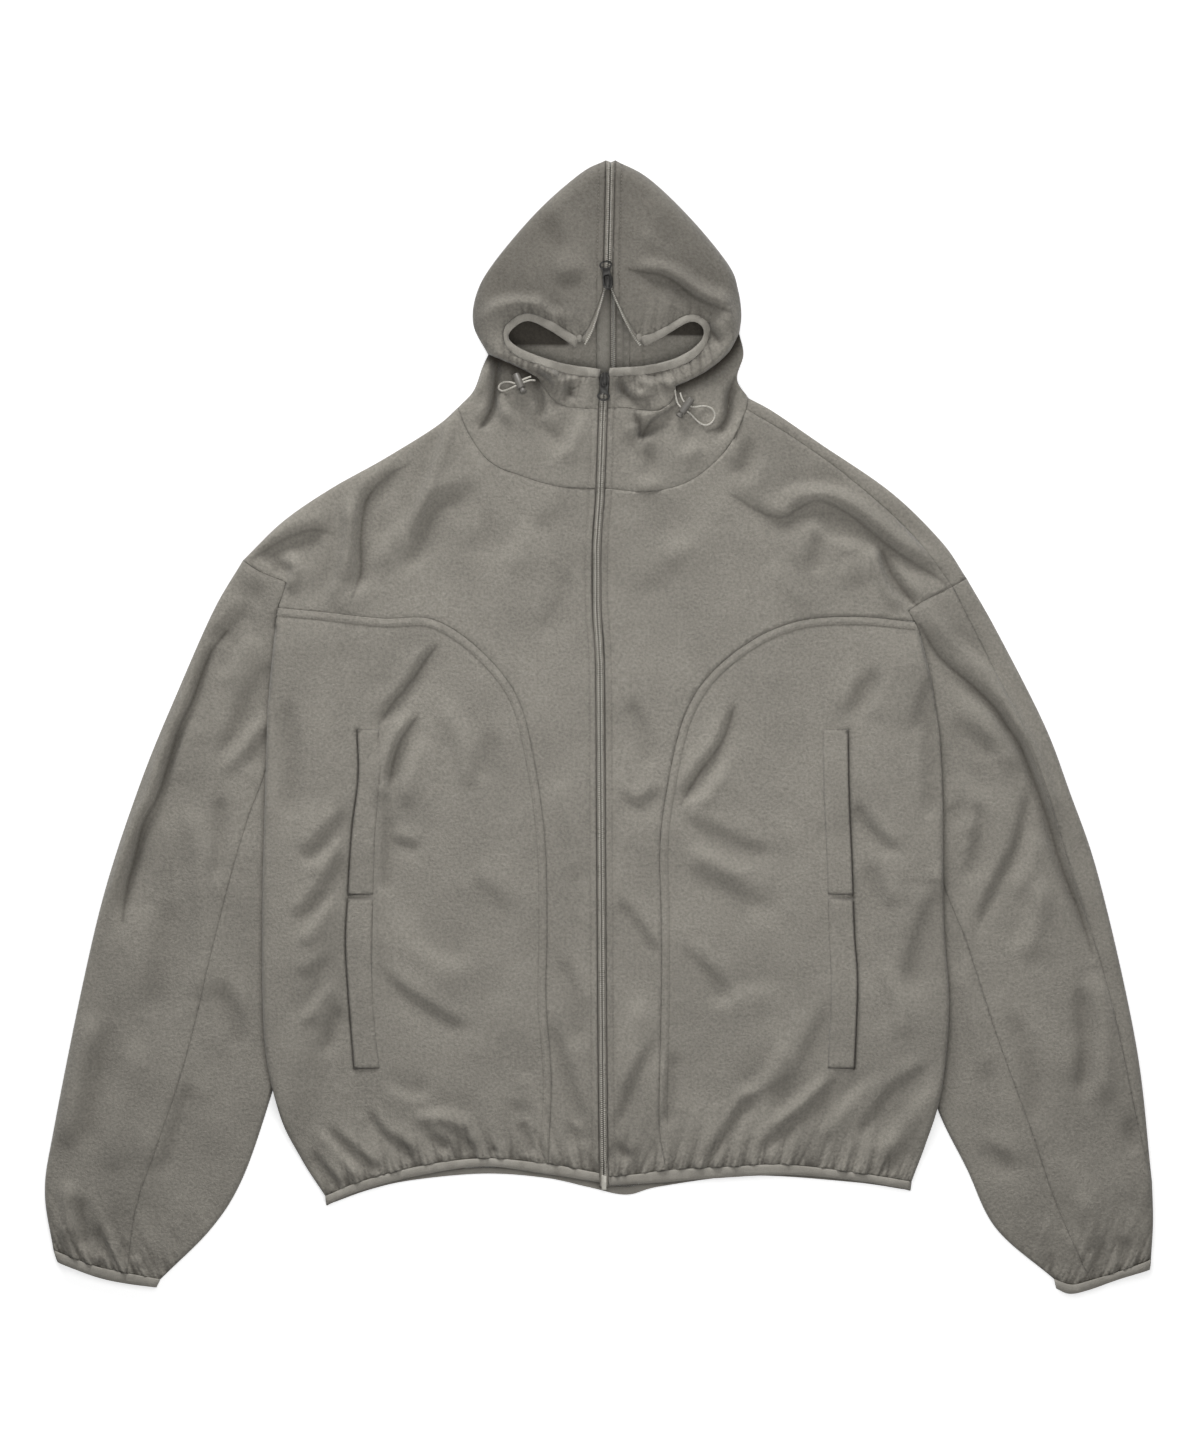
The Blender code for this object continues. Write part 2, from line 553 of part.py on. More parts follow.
def inside(xy, loop):
    """Whether each point is inside a closed loop."""
    x, y = xy.T
    crossings = np.zeros(len(xy), int)
    for (ax, ay), (bx, by) in zip(loop, np.roll(loop, -1, 0)):
        span = (ay > y) != (by > y)
        slope = (bx - ax) / (by - ay) if by != ay else 0.0
        crossings += span & (x < ax + (y - ay) * slope)
    return crossings % 2 == 1


def outline(parts):
    """A closed loop from curves, each with its own inset, counterclockwise.

    A curve is named, with a minus sign to run it backwards, or is a line of points.
    """
    points = []
    insets = []
    for line, inset in parts:
        if isinstance(line, str):
            backwards = line.startswith("-")
            line = SAMPLED[line.strip("-")]
            line = line[::-1] if backwards else line
        points.extend(line[:-1])
        insets.extend([inset] * (len(line) - 1))
    loop = np.array(points)
    insets = np.array(insets)
    shifted = np.roll(loop, -1, 0)
    area = float(np.sum(loop[:, 0] * shifted[:, 1] - shifted[:, 0] * loop[:, 1]))
    if area < 0:
        loop = loop[::-1]
        insets = np.roll(insets[::-1], -1)
    run = np.roll(loop, -1, 0) - loop
    run /= np.hypot(*run.T)[:, None]
    normal = np.column_stack([-run[:, 1], run[:, 0]])
    before = np.roll(normal, 1, 0)
    inset_before = np.roll(insets, 1)
    cross = before[:, 0] * normal[:, 1] - before[:, 1] * normal[:, 0]
    dot = np.sum(before * normal, 1)
    move = np.zeros_like(loop)
    for i in range(len(loop)):
        if abs(cross[i]) < 0.2:
            mean = normal[i] + before[i]
            move[i] = mean / np.hypot(*mean) * (insets[i] + inset_before[i]) / 2
        else:
            system = np.array([before[i], normal[i]])
            move[i] = np.linalg.solve(system, [inset_before[i], insets[i]])
            length = np.hypot(*move[i])
            if length > 1.2:
                move[i] *= 1.2 / length
        if dot[i] < -0.98:
            move[i] = 0
    return loop + move


def triangulate(loops, extra):
    """Triangles inside the first loop, with the edges of every loop kept."""
    points = [Vector(point) for loop in loops for point in loop]
    points += [Vector(point) for point in extra]
    edges = []
    first = 0
    for loop in loops:
        edges += [(first + i, first + (i + 1) % len(loop)) for i in range(len(loop))]
        first += len(loop)
    vertices, _, faces, _, _, _ = delaunay_2d_cdt(points, edges, [], 0, 1e-6, False)
    xy = np.array([tuple(vertex) for vertex in vertices])
    within = inside(np.array([xy[list(face)].mean(0) for face in faces]), loops[0])
    return xy, [list(face) for face, keep in zip(faces, within) if keep]


def grid_points(loop, spacing):
    low = loop.min(0)
    high = loop.max(0)
    points = []
    for row, y in enumerate(np.arange(low[1] + spacing / 2, high[1], spacing * 0.87)):
        for x in np.arange(low[0] + (row % 2) * spacing / 2, high[0], spacing):
            points.append((x, y))
    return np.array(points).reshape(-1, 2)


def inward_of(loop):
    """Unit direction into a counterclockwise loop at each of its points."""
    ahead = np.roll(loop, -1, 0) - loop
    ahead /= np.hypot(*ahead.T)[:, None]
    run = ahead + np.roll(ahead, 1, 0)
    return np.column_stack([-run[:, 1], run[:, 0]]) / np.hypot(*run.T)[:, None]


def ring_points(loop, layer, shares):
    """Points on rings just inside the rolled stretches of an outline.

    Each ring lies at a share of the roll's radius from the edge.
    """
    inward = inward_of(loop)
    gap, _, radius, _ = layer.edge(loop)
    rolled = gap < 0.4
    closed = np.vstack([loop, loop[:1]])
    rings = [np.zeros((0, 2))]
    for share in shares:
        chosen = rolled & (np.arange(len(loop)) % 2 == 0) if share == 1.0 else rolled
        ring = (loop + inward * (share * radius)[:, None])[chosen]
        if len(ring):
            keep = inside(ring, loop)
            keep &= nearest(ring, closed)[0] > 0.85 * share * radius[chosen]
            rings.append(ring[keep])
    return np.vstack(rings)


RINGS = (0.2, 1.0)       # rings of points along a rolled edge, as shares of its radius
CUFF_RINGS = ()          # a cuff is too narrow for any


def panel(name, layer, parts, made, grid, thick=CLOTH, drop=0.0, patches=(), extra=(), rings=RINGS):
    """A cloth wall: outline from its seams, height from its layer, one wall thick.

    Each patch is a (name, loop, thickness) that lies on the panel: it takes the
    panel's own points inside its loop and moves them out.  Extra points keep a
    coarse panel clear of what it lies on.
    """
    loop = outline(parts)
    closed = np.vstack([loop, loop[:1]])
    points = grid_points(loop, grid)
    if len(points):
        points = points[inside(points, loop)]
    if len(points):
        points = points[nearest(points, closed)[0] > grid * 0.42]
    if len(points):
        points = points[layer.surface(points)[2] > 0.98]
    if len(extra):
        points = points[nearest(points, extra)[0] > grid * 0.3]
        points = np.vstack([points, extra[inside(extra, loop)]])
    for _, patch, _ in patches:
        points = points[nearest(points, np.vstack([patch, patch[:1]]))[0] > 6]
    xy, faces = triangulate([loop, *(patch for _, patch, _ in patches)],
                            np.vstack([points, ring_points(loop, layer, rings)]))
    closest = np.array([np.argmin(np.hypot(*(loop - point).T)) for point in xy])
    z, normal, _ = layer.surface(xy, inward_of(loop)[closest])
    normal = normal / np.linalg.norm(normal, axis=1)[:, None]
    outer = np.column_stack([xy, z]) - normal * drop
    wall(name, outer, normal, faces, thick, made, layer.lower)
    for patch_name, patch, patch_thick in patches:
        middles = np.array([xy[face].mean(0) for face in faces])
        chosen = [face for face, within in zip(faces, inside(middles, patch)) if within]
        used = sorted({index for face in chosen for index in face})
        order = {index: place for place, index in enumerate(used)}
        lifted = outer[used] + normal[used] * (SEAM + patch_thick)
        wall(patch_name, lifted, normal[used],
             [[order[index] for index in face] for face in chosen], patch_thick, made)


def wall(name, outer, normal, faces, thick, made, lower=False):
    """A closed solid from an outer face and the same face moved in by one thickness."""
    count = len(outer)
    points = np.vstack([outer, outer - normal * thick]) * MM
    border = set()
    for face in faces:
        for a, b in zip(face, face[1:] + face[:1]):
            if (b, a) in border:
                border.remove((b, a))
            else:
                border.add((a, b))
    solid = [list(face) for face in faces]
    solid += [[index + count for index in face][::-1] for face in faces]
    for a, b in sorted(border):
        solid += [[a + count, b + count, b], [a + count, b, a]]
    if lower:
        solid = [face[::-1] for face in solid]
    return add_mesh(name, points, solid, made)


# ---- the cut pieces -----------------------------------------------------------------

HALF = SEAM / 2
for leftover in list(bpy.data.objects):
    bpy.data.objects.remove(leftover)

FLEECE = material("fleece", (0.25, 0.235, 0.205), 0.95)
FLEECE_INSIDE = material("fleece_inside", (0.21, 0.2, 0.175), 0.95)
BINDING = material("elastic_binding", (0.33, 0.31, 0.27), 0.8)
TAPE = material("zip_tape", (0.3, 0.28, 0.245), 0.8)
COIL = material("zip_coil", (0.36, 0.34, 0.29), 0.45)
METAL = material("gunmetal", (0.12, 0.12, 0.115), 0.3, 1.0)
STOPPER = material("cord_lock_plastic", (0.2, 0.195, 0.18), 0.5)
CORD = material("elastic_cord", (0.55, 0.53, 0.47), 0.7)

# Two welts stand one over the other on each side: their left and right long edges.
WELT_EDGES = {
    "left": ([(-230, -5), (-229, -49), (-235, -99), (-239, -161), (-241, -208), (-238, -260),
              (-233, -324)],
             [(-210, -2), (-208, -38), (-213, -99), (-215, -161), (-216, -241), (-213, -290),
              (-209, -325)]),
    "right": ([(211, 4), (212, -61), (215, -127), (217, -196), (219, -251), (216, -324)],
              [(235, 1), (236, -62), (239, -135), (241, -196), (244, -244), (241, -327)]),
}
WELT_SPAN = {"upper": (-160.0, -3.0), "lower": (-325.0, -163.0)}


def welt(left, right, low, high):
    """Outline of a pocket welt between two heights, from its two long edges."""
    ys = np.linspace(low, high, round((high - low) / 34) + 1)
    sides = []
    for table in (left, right):
        table = sorted(table, key=lambda point: point[1])
        xs = np.interp(ys, [point[1] for point in table], [point[0] for point in table])
        sides.append(np.column_stack([xs, ys]))
    return np.vstack([sides[1], sides[0][::-1]])


# Points along the top of the slope beside each tucked sleeve.
SHELF = np.vstack([INNERS[0] + [TUCK_SHELF, 0], INNERS[1] - [TUCK_SHELF, 0],
                   INNERS[0] + [TUCK_SHELF + TUCK_RAMP / 2, 0],
                   INNERS[1] - [TUCK_SHELF + TUCK_RAMP / 2, 0],
                   INNERS[0] + [TUCK_SHELF + TUCK_RAMP, 0], INNERS[1] - [TUCK_SHELF + TUCK_RAMP, 0]])


def front_pieces(side, end):
    welts = [("pocket_welt_" + level + "_" + side, welt(*WELT_EDGES[side], *WELT_SPAN[level]), CLOTH)
             for level in ("upper", "lower")]
    panel("front_side_" + side, FRONT,
          [("yoke" + end, HALF), ("-hem_out" + end, HALF), ("-side" + end, 0),
           ("-lip_side" + end, 0), ("-step_low" + end, HALF)], FLEECE, BODY_GRID, patches=welts,
          extra=SHELF)
    shoulder = [("shoulder_l", 0), ("armhole_l", HALF)]
    if side == "right":
        shoulder = [("shoulder_seam_r", HALF), ("armhole_in_r", HALF)]
    panel("front_centre_" + side, FRONT,
          [("zip_body" + end, HALF), ("-neckseam" + end, HALF), *shoulder, ("step" + end, HALF),
           ("yoke" + end, HALF), ("hem_in" + end, HALF)], FLEECE, BODY_GRID)
    panel("hem_front_" + side, FRONT,
          [("hem_out" + end, HALF), ("hem_in" + end, HALF), ("cap_low" + end, 0),
           ("-low" + end, 0), ("-cap_hem" + end, 0)], BINDING, BODY_GRID,
          thick=BINDING_THICK, drop=-SEAM)


def hood_pieces(side, end):
    """Collar, hood, the elastic that binds the face opening, and the hood's back."""
    seam = [("neckseam" + end, HALF)]
    if side == "right":
        seam.insert(0, ("neckstrip_r", HALF))
    panel("collar_" + side, NECK,
          [*seam, ("zip_collar" + end, HALF), ("-channel" + end, HALF), ("-under" + end, HALF),
           ("neckside" + end, 0)], FLEECE, HOOD_GRID)
    panel("hood_" + side, HOOD,
          [("zip_hood" + end, HALF), ("vee" + end, HALF), ("face" + end, HALF),
           ("-zip_chin" + end, HALF), ("-channel" + end, HALF), ("-roll" + end, 0),
           ("-hood" + end, 0)], FLEECE, HOOD_GRID)
    panel("face_binding_" + side, HOOD,
          [("face" + end, HALF), ("cap_zip" + end, 0), ("-lip" + end, 0),
           ("-cap_face" + end, HALF)],
          BINDING, HOOD_GRID, thick=BINDING_THICK, drop=-SEAM)
    panel("hood_back_" + side, HOOD_BACK,
          [("hood" + end, 0), ("neckside" + end, 0), ("nape_out" + end, HALF),
           ("back_zip" + end, 0), ("crown_back" + end, 0)], FLEECE_INSIDE, HOOD_GRID * 1.6)


def sleeve_pieces(side, end):
    """An outer panel, a narrow inner panel along the body, the under side and the cuff."""
    top = [("-step_l", HALF), ("-armhole_l", HALF), ("outer_l", 0)]
    under = [("outer_l", 0)]
    if side == "right":
        top = [("-step_r", HALF), ("-armhole_in_r", HALF), ("strip_r", HALF), ("outer_low_r", 0)]
        under = [("outer_r", 0), ("outer_low_r", 0)]
    panel("sleeve_outer_" + side, SLEEVE,
          [*top, ("cuff_far" + end, HALF), ("-seam" + end, HALF), ("-hidden_up" + end, 0),
           ("-step_low" + end, HALF)], FLEECE, SLEEVE_GRID)
    panel("sleeve_inner_" + side, SLEEVE,
          [("hidden_low" + end, 0), ("inner_top" + end, 0), ("inner" + end, 0),
           ("-cuff_near" + end, HALF), ("-seam" + end, HALF)], FLEECE, SLEEVE_GRID)
    panel("sleeve_under_" + side, SLEEVE_UNDER,
          [*under, ("cuff_far" + end, HALF), ("cuff_near" + end, HALF), ("-inner" + end, 0),
           ("-inner_top" + end, 0), ("-armhole_back" + end, HALF)], FLEECE, SLEEVE_GRID * 1.5)
    cuff = [("cuff_far" + end, HALF), ("cuff_near" + end, HALF), ("cap_in" + end, 0),
            ("-cuff_low" + end, 0), ("-cap_out" + end, 0)]
    panel("cuff_top_" + side, SLEEVE, cuff, BINDING, SLEEVE_GRID, drop=-SEAM, rings=CUFF_RINGS)
    panel("cuff_under_" + side, SLEEVE_UNDER, cuff, BINDING, SLEEVE_GRID, rings=CUFF_RINGS)


def back_pieces():
    """The back lies on the table and rises over the tucked sleeves below the armpits."""
    panel("back", BACK,
          [("shoulder_l", 0), ("armhole_back_l", HALF), ("tuck_l", 0), ("side_l", 0),
           ("hem_back", HALF), ("-side_r", 0), ("-tuck_r", 0), ("-armhole_back_r", HALF),
           ("-shoulder_r", 0), ("nape_out_r", SEAM), ("-nape_mid", SEAM),
           ("-nape_out_l", SEAM)], FLEECE, BACK_GRID, extra=SHELF)
    panel("hem_back", BACK,
          [("hem_back", HALF), ("cap_back_r", 0), ("-low_back", 0), ("-cap_back_l", 0)], BINDING,
          BACK_GRID, thick=BINDING_THICK)
    panel("back_shoulder_right", FRONT,
          [("shoulder_r", 0), ("armhole_out_r", HALF), ("-shoulder_seam_r", HALF),
           ("-neckstrip_r", HALF)], FLEECE, BODY_GRID)
    panel("sleeve_back_right", SLEEVE,
          [("outer_r", 0), ("-strip_r", HALF), ("-armhole_out_r", HALF)], FLEECE, SLEEVE_GRID)


back_pieces()
for SIDE_NAME, END_NAME in (("left", "_l"), ("right", "_r")):
    front_pieces(SIDE_NAME, END_NAME)
    hood_pieces(SIDE_NAME, END_NAME)
    sleeve_pieces(SIDE_NAME, END_NAME)


# ---- zips -----------------------------------------------------------------------------

INNER_REACH = CHAIN_HALF + SEAM      # from the chain's middle to a tape's inner edge
CHAIN_DROP = 0.2                     # how far the chain lies below the cloth's face
TAPE_DROP = 0.7
TAPE_GRID = 60.0


def ribbon(name, layer, left, right, made, thick, drop):
    """A strip between two lines of points, on a layer."""
    left = np.array(left, float)
    right = np.array(right, float)
    ends = [np.array([right[-1], left[-1]]), np.array([left[0], right[0]])]
    panel(name, layer, [(right, 0), (ends[0], 0), (left[::-1], 0), (ends[1], 0)], made, TAPE_GRID,
          thick, drop)


def beside(path, side, reach, ys):
    return [beside_zip(side, y, path, reach) for y in ys]


def zip_rows(path, low, high):
    """Heights of the cross lines of a zip: its path's own points and some between."""
    steps = np.linspace(low, high, round((high - low) / 30.0) + 1)
    own = [y for _, y in path if low + 3 < y < high - 3]
    apart = [y for y in steps[1:-1] if all(abs(y - other) > 9 for other in own)]
    return sorted([low, high, *own, *apart])


def closure(name, layer, path, low, high):
    """The closed coil chain between two heights."""
    rows = zip_rows(path, low, high)
    ribbon(name, layer, beside(path, -1, CHAIN_HALF, rows), beside(path, 1, CHAIN_HALF, rows),
           COIL, CHAIN_THICK, CHAIN_DROP)


class Whole:
    """The front and the collar in one, for what runs over both."""
    lower = False

    def edge(self, xy):
        return FRONT.edge(xy)

    def surface(self, xy, hint=None):
        over = xy[:, 1] > 225
        front = FRONT.surface(xy, hint)
        collar = NECK.surface(xy, hint)
        return tuple(np.where(over if value.ndim == 1 else over[:, None], other, value)
                     for value, other in zip(front, collar))


ZIP_LAYER = Whole()
FRONT_SLIDER = (4.75, 328.0)
HOOD_SLIDER = (7.5, 419.0)
ZIP_BOTTOM = -426.0
closure("zip_chain_front", ZIP_LAYER, FRONT_ZIP, ZIP_BOTTOM, FRONT_SLIDER[1] - 0.6)
closure("zip_chain_hood", HOOD, HOOD_ZIP, HOOD_SLIDER[1] + 0.6, 533.0)
for SIDE, SIDE_NAME, END in ((-1, "left", "_l"), (1, "right", "_r")):
    ROWS = zip_rows(FRONT_ZIP, -437, 336)
    LINES = [beside(FRONT_ZIP, SIDE, reach, ROWS) for reach in (INNER_REACH, ZIP_GAP - SEAM)]
    LINES = LINES if SIDE > 0 else LINES[::-1]
    ribbon("zip_tape_front_" + SIDE_NAME, ZIP_LAYER, *LINES, TAPE, TAPE_THICK, TAPE_DROP)
    panel("zip_tape_hood_" + SIDE_NAME, HOOD,
          [("zip_hood" + END, HALF), ("vee" + END, HALF), ("cap_tape" + END, HALF),
           ("-tape_hood" + END, 0), ("cap_crown" + END, 0)], TAPE, TAPE_GRID, TAPE_THICK, TAPE_DROP)


def solid_box(name, low, high, made):
    """A block between two corners."""
    corners = [(x, y, z) for x in (low[0], high[0]) for y in (low[1], high[1])
               for z in (low[2], high[2])]
    faces = [(0, 1, 3, 2), (4, 6, 7, 5), (0, 4, 5, 1), (2, 3, 7, 6), (0, 2, 6, 4), (1, 5, 7, 3)]
    return add_mesh(name, np.array(corners) * MM, faces, made)


# On the inside of the hood's back: two tapes on the fleece and the chain between them.
INSIDE_LEVEL = CLOTH + SEAM
BACK_TAPE_REACH = 16.0               # from the chain's middle to a tape's outer edge
BACK_TAPE_ENDS = (286.0, 498.0)
BACK_CHAIN_ENDS = (281.0, 527.0)
COIL_PROUD = 0.6                     # the coil stands this far above its tapes
for SIDE, SIDE_NAME in ((-1, "left"), (1, "right")):
    XS = sorted([BACK_ZIP_X + SIDE * INNER_REACH, BACK_ZIP_X + SIDE * BACK_TAPE_REACH])
    solid_box("inside_tape_" + SIDE_NAME, (XS[0], BACK_TAPE_ENDS[0], INSIDE_LEVEL),
              (XS[1], BACK_TAPE_ENDS[1], INSIDE_LEVEL + TAPE_THICK), TAPE)
solid_box("inside_chain", (BACK_ZIP_X - CHAIN_HALF, BACK_CHAIN_ENDS[0], SEAM),
          (BACK_ZIP_X + CHAIN_HALF, BACK_CHAIN_ENDS[1], INSIDE_LEVEL + TAPE_THICK + COIL_PROUD), COIL)


def extrude(name, loop, low, high, made):
    """A plate with the given outline, counterclockwise, between two levels."""
    count = len(loop)
    points = [(x, y, z) for z in (low, high) for x, y in loop]
    faces = [list(range(count))[::-1], [index + count for index in range(count)]]
    faces += [[i, (i + 1) % count, (i + 1) % count + count, i + count] for i in range(count)]
    return add_mesh(name, np.array(points, float) * MM, faces, made)


def oval(centre, half_x, half_y, count=20):
    return [(centre[0] + half_x * math.cos(2 * math.pi * i / count),
             centre[1] + half_y * math.sin(2 * math.pi * i / count)) for i in range(count)]


def rounded(low, high, radius, count=3):
    """A rectangle with round corners."""
    points = []
    for turn, (x, y) in enumerate(((high[0], high[1]), (low[0], high[1]), (low[0], low[1]),
                                   (high[0], low[1]))):
        centre_x = x - radius if x == high[0] else x + radius
        centre_y = y - radius if y == high[1] else y + radius
        for step in range(count + 1):
            angle = math.pi / 2 * (turn + step / count)
            points.append((centre_x + radius * math.cos(angle), centre_y + radius * math.sin(angle)))
    return points


def cut(thing, *cutters):
    for cutter in cutters:
        cutter.hide_render = True
        cutter.display_type = "WIRE"
        change = thing.modifiers.new("cut", "BOOLEAN")
        change.operation = "DIFFERENCE"
        change.solver = "EXACT"
        change.object = cutter


def join(thing, *others):
    for other in others:
        other.hide_render = True
        other.display_type = "WIRE"
        change = thing.modifiers.new("join", "BOOLEAN")
        change.operation = "UNION"
        change.solver = "EXACT"
        change.object = other


# ---- sliders and their pull tabs ------------------------------------------------------
# In a slider's own frame the chain's middle is at zero height and the closed chain
# runs down -Y.  The coil and the tapes pass through it, past a post at its upper end.

SLIDER_WIDE = 4.9
SLIDER_LOW = -2.9
SLIDER_HIGH = 2.7
PLATE = 1.1
BAR_Y = 3.6              # the pull tab's bar, under the bail
BAR_Z = SLIDER_HIGH + 1.3
TAB_THICK = 1.3


def place(thing, centre, level, turn):
    matrix = Matrix.Translation(Vector((centre[0], centre[1], level)) * MM)
    thing.matrix_world = matrix @ Matrix.Rotation(turn, 4, "Z")


def slider(name, centre, level, turn):
    """The slider's body with its bail."""
    body = extrude(name, [(2.2, -7), (4.4, -5), (SLIDER_WIDE, 2), (3.6, 5.6), (1.4, 7), (-1.4, 7),
                          (-3.6, 5.6), (-SLIDER_WIDE, 2), (-4.4, -5), (-2.2, -7)],
                   SLIDER_LOW, SLIDER_HIGH, METAL)
    coil = solid_box(name + "_coil_way", (-2.65, -8, SLIDER_LOW + PLATE), (2.65, 0, SLIDER_HIGH - PLATE),
                     METAL)
    ways = [solid_box(name + "_tape_way_" + str(x), (min(x, x * 4), -8, SLIDER_LOW + PLATE),
                      (max(x, x * 4), 8, SLIDER_HIGH - PLATE), METAL) for x in (-2.3, 2.3)]
    bail = solid_box(name + "_bail", (-1.4, -5.2, SLIDER_HIGH - 0.5), (1.4, 6.0, SLIDER_HIGH + 3.2),
                     METAL)
    window = solid_box(name + "_window", (-3, -4.0, SLIDER_HIGH), (3, 4.9, SLIDER_HIGH + 2.4), METAL)
    cut(bail, window)
    join(body, bail)
    cut(body, coil, *ways)
    for thing in (body, coil, *ways, bail, window):
        place(thing, centre, level, turn)


def pull(name, centre, level, turn, swing):
    """The tab: a bar under the bail, two arms beside it, a neck and an oval ring."""
    ring_y = -16.1 - BAR_Y
    sides = [(4.3, 0.6), (4.3, -8.6), (3.6, -12.4), (3.9, -15.6)]
    ring = [(6.3 * math.cos(a), ring_y + 4.3 * math.sin(a)) for a in np.radians([28, 5, -20, -45, -70])]
    half = sides + ring
    loop = [(-x, y) for x, y in half] + [(x, y) for x, y in reversed(half)]
    tab = extrude(name, loop, -TAB_THICK / 2, TAB_THICK / 2, METAL)
    hole = extrude(name + "_hole", rounded((-2.7, -10.4), (2.7, -0.6), 1.6), -3, 3, METAL)
    eye = extrude(name + "_eye", oval((0, ring_y), 4.5, 2.5), -3, 3, METAL)
    cut(tab, hole, eye)
    bar = Vector((0, BAR_Y)) * MM
    bar.rotate(Matrix.Rotation(turn, 2))
    middle = Vector((centre[0] * MM + bar.x, centre[1] * MM + bar.y, (level + BAR_Z) * MM))
    for thing in (tab, hole, eye):
        thing.matrix_world = Matrix.Translation(middle) @ Matrix.Rotation(turn + swing, 4, "Z")


def chain_level(layer, centre):
    top = layer.surface(np.array([centre], float))[0][0]
    return float(top) - CHAIN_DROP - CHAIN_THICK / 2


FRONT_LEVEL = chain_level(NECK, FRONT_SLIDER)
HOOD_LEVEL = chain_level(HOOD, HOOD_SLIDER)
slider("slider_front", FRONT_SLIDER, FRONT_LEVEL, 0.0)
pull("pull_front", FRONT_SLIDER, FRONT_LEVEL, 0.0, math.radians(-4))
slider("slider_hood", HOOD_SLIDER, HOOD_LEVEL, math.pi)
pull("pull_hood", HOOD_SLIDER, HOOD_LEVEL, math.pi, math.radians(6))

# The box and pin that close the bottom of the front zip.
BOX_LEVEL = chain_level(FRONT, (4, -432))
solid_box("zip_box", (zip_x(-432) - CHAIN_HALF, -440.0, BOX_LEVEL - 1.4),
          (zip_x(-432) + CHAIN_HALF, ZIP_BOTTOM - SEAM, BOX_LEVEL + 1.4), TAPE)


# ---- cord locks and cords ---------------------------------------------------------------
# In a lock's own frame the barrel lies along X with the button at +X, and the two
# strands of the cord cross it along Y.

BARREL_RADIUS = 3.8
BARREL_HALF = 8.5
BORE_RADIUS = 2.9
ROD_RADIUS = 2.55
ROD_END = -4.3
BUTTON_TRAVEL = 2.0
SLOT_HALF = 1.3          # half the height of the slot the cord runs through
STRAND_MIDDLE = 1.3      # middle of the two strands along the barrel


def turned(name, profile, made, count=16):
    """A piece turned about X from a closed profile of (x, radius) pairs."""
    points = []
    ends = []
    for x, radius in profile:
        if radius == 0:
            ends.append([len(points)] * count)
            points.append((x, 0, 0))
        else:
            ends.append([len(points) + i for i in range(count)])
            points += [(x, radius * math.cos(2 * math.pi * i / count),
                        radius * math.sin(2 * math.pi * i / count)) for i in range(count)]
    faces = []
    for first, second in zip(ends, ends[1:]):
        for i in range(count):
            j = (i + 1) % count
            face = [first[i], first[j], second[j], second[i]]
            faces.append([index for k, index in enumerate(face) if index not in face[:k]])
    return add_mesh(name, np.array(points, float) * MM, faces, made)


def cord_lock(side, centre, level, heading, tilt, spread):
    """A barrel with a slot for the cord, and a sprung button whose rod has its own slot."""
    barrel = turned("lock_barrel_" + side,
                    [(-BARREL_HALF, 0), (-BARREL_HALF, 3.0), (1 - BARREL_HALF, BARREL_RADIUS),
                     (BARREL_HALF - 0.6, BARREL_RADIUS), (BARREL_HALF, 3.4), (BARREL_HALF, BORE_RADIUS),
                     (-6.6, BORE_RADIUS), (-6.6, 0)][::-1], STOPPER)
    button = turned("lock_button_" + side,
                    [(ROD_END, 0), (ROD_END, ROD_RADIUS), (BARREL_HALF + 2.3, ROD_RADIUS),
                     (BARREL_HALF + 2.3, 3.5), (BARREL_HALF + 4.2, 3.5), (BARREL_HALF + 5.0, 2.6),
                     (BARREL_HALF + 5.0, 0)][::-1], STOPPER)
    reach = spread / 2 + CORD_RADIUS + SEAM
    slot = solid_box("barrel_slot_" + side, (STRAND_MIDDLE - reach, -6, -SLOT_HALF),
                     (STRAND_MIDDLE + reach, 6, SLOT_HALF), STOPPER)
    window = solid_box("button_slot_" + side, (STRAND_MIDDLE - reach, -6, -SLOT_HALF),
                       (STRAND_MIDDLE + reach + BUTTON_TRAVEL, 6, SLOT_HALF), STOPPER)
    cut(barrel, slot)
    cut(button, window)
    spin = Matrix.Rotation(heading, 4, "Z") @ Matrix.Rotation(-tilt, 4, "Y")
    matrix = Matrix.Translation(Vector((*centre, level)) * MM) @ spin
    for thing in (barrel, button, slot, window):
        thing.matrix_world = matrix


cord_lock("left", (-76.8, 325.6), 22.4, math.radians(-66), math.radians(28), 3.0)
cord_lock("right", (81.8, 303.5), 19.0, math.radians(-124.8), 0.0, 6.0)

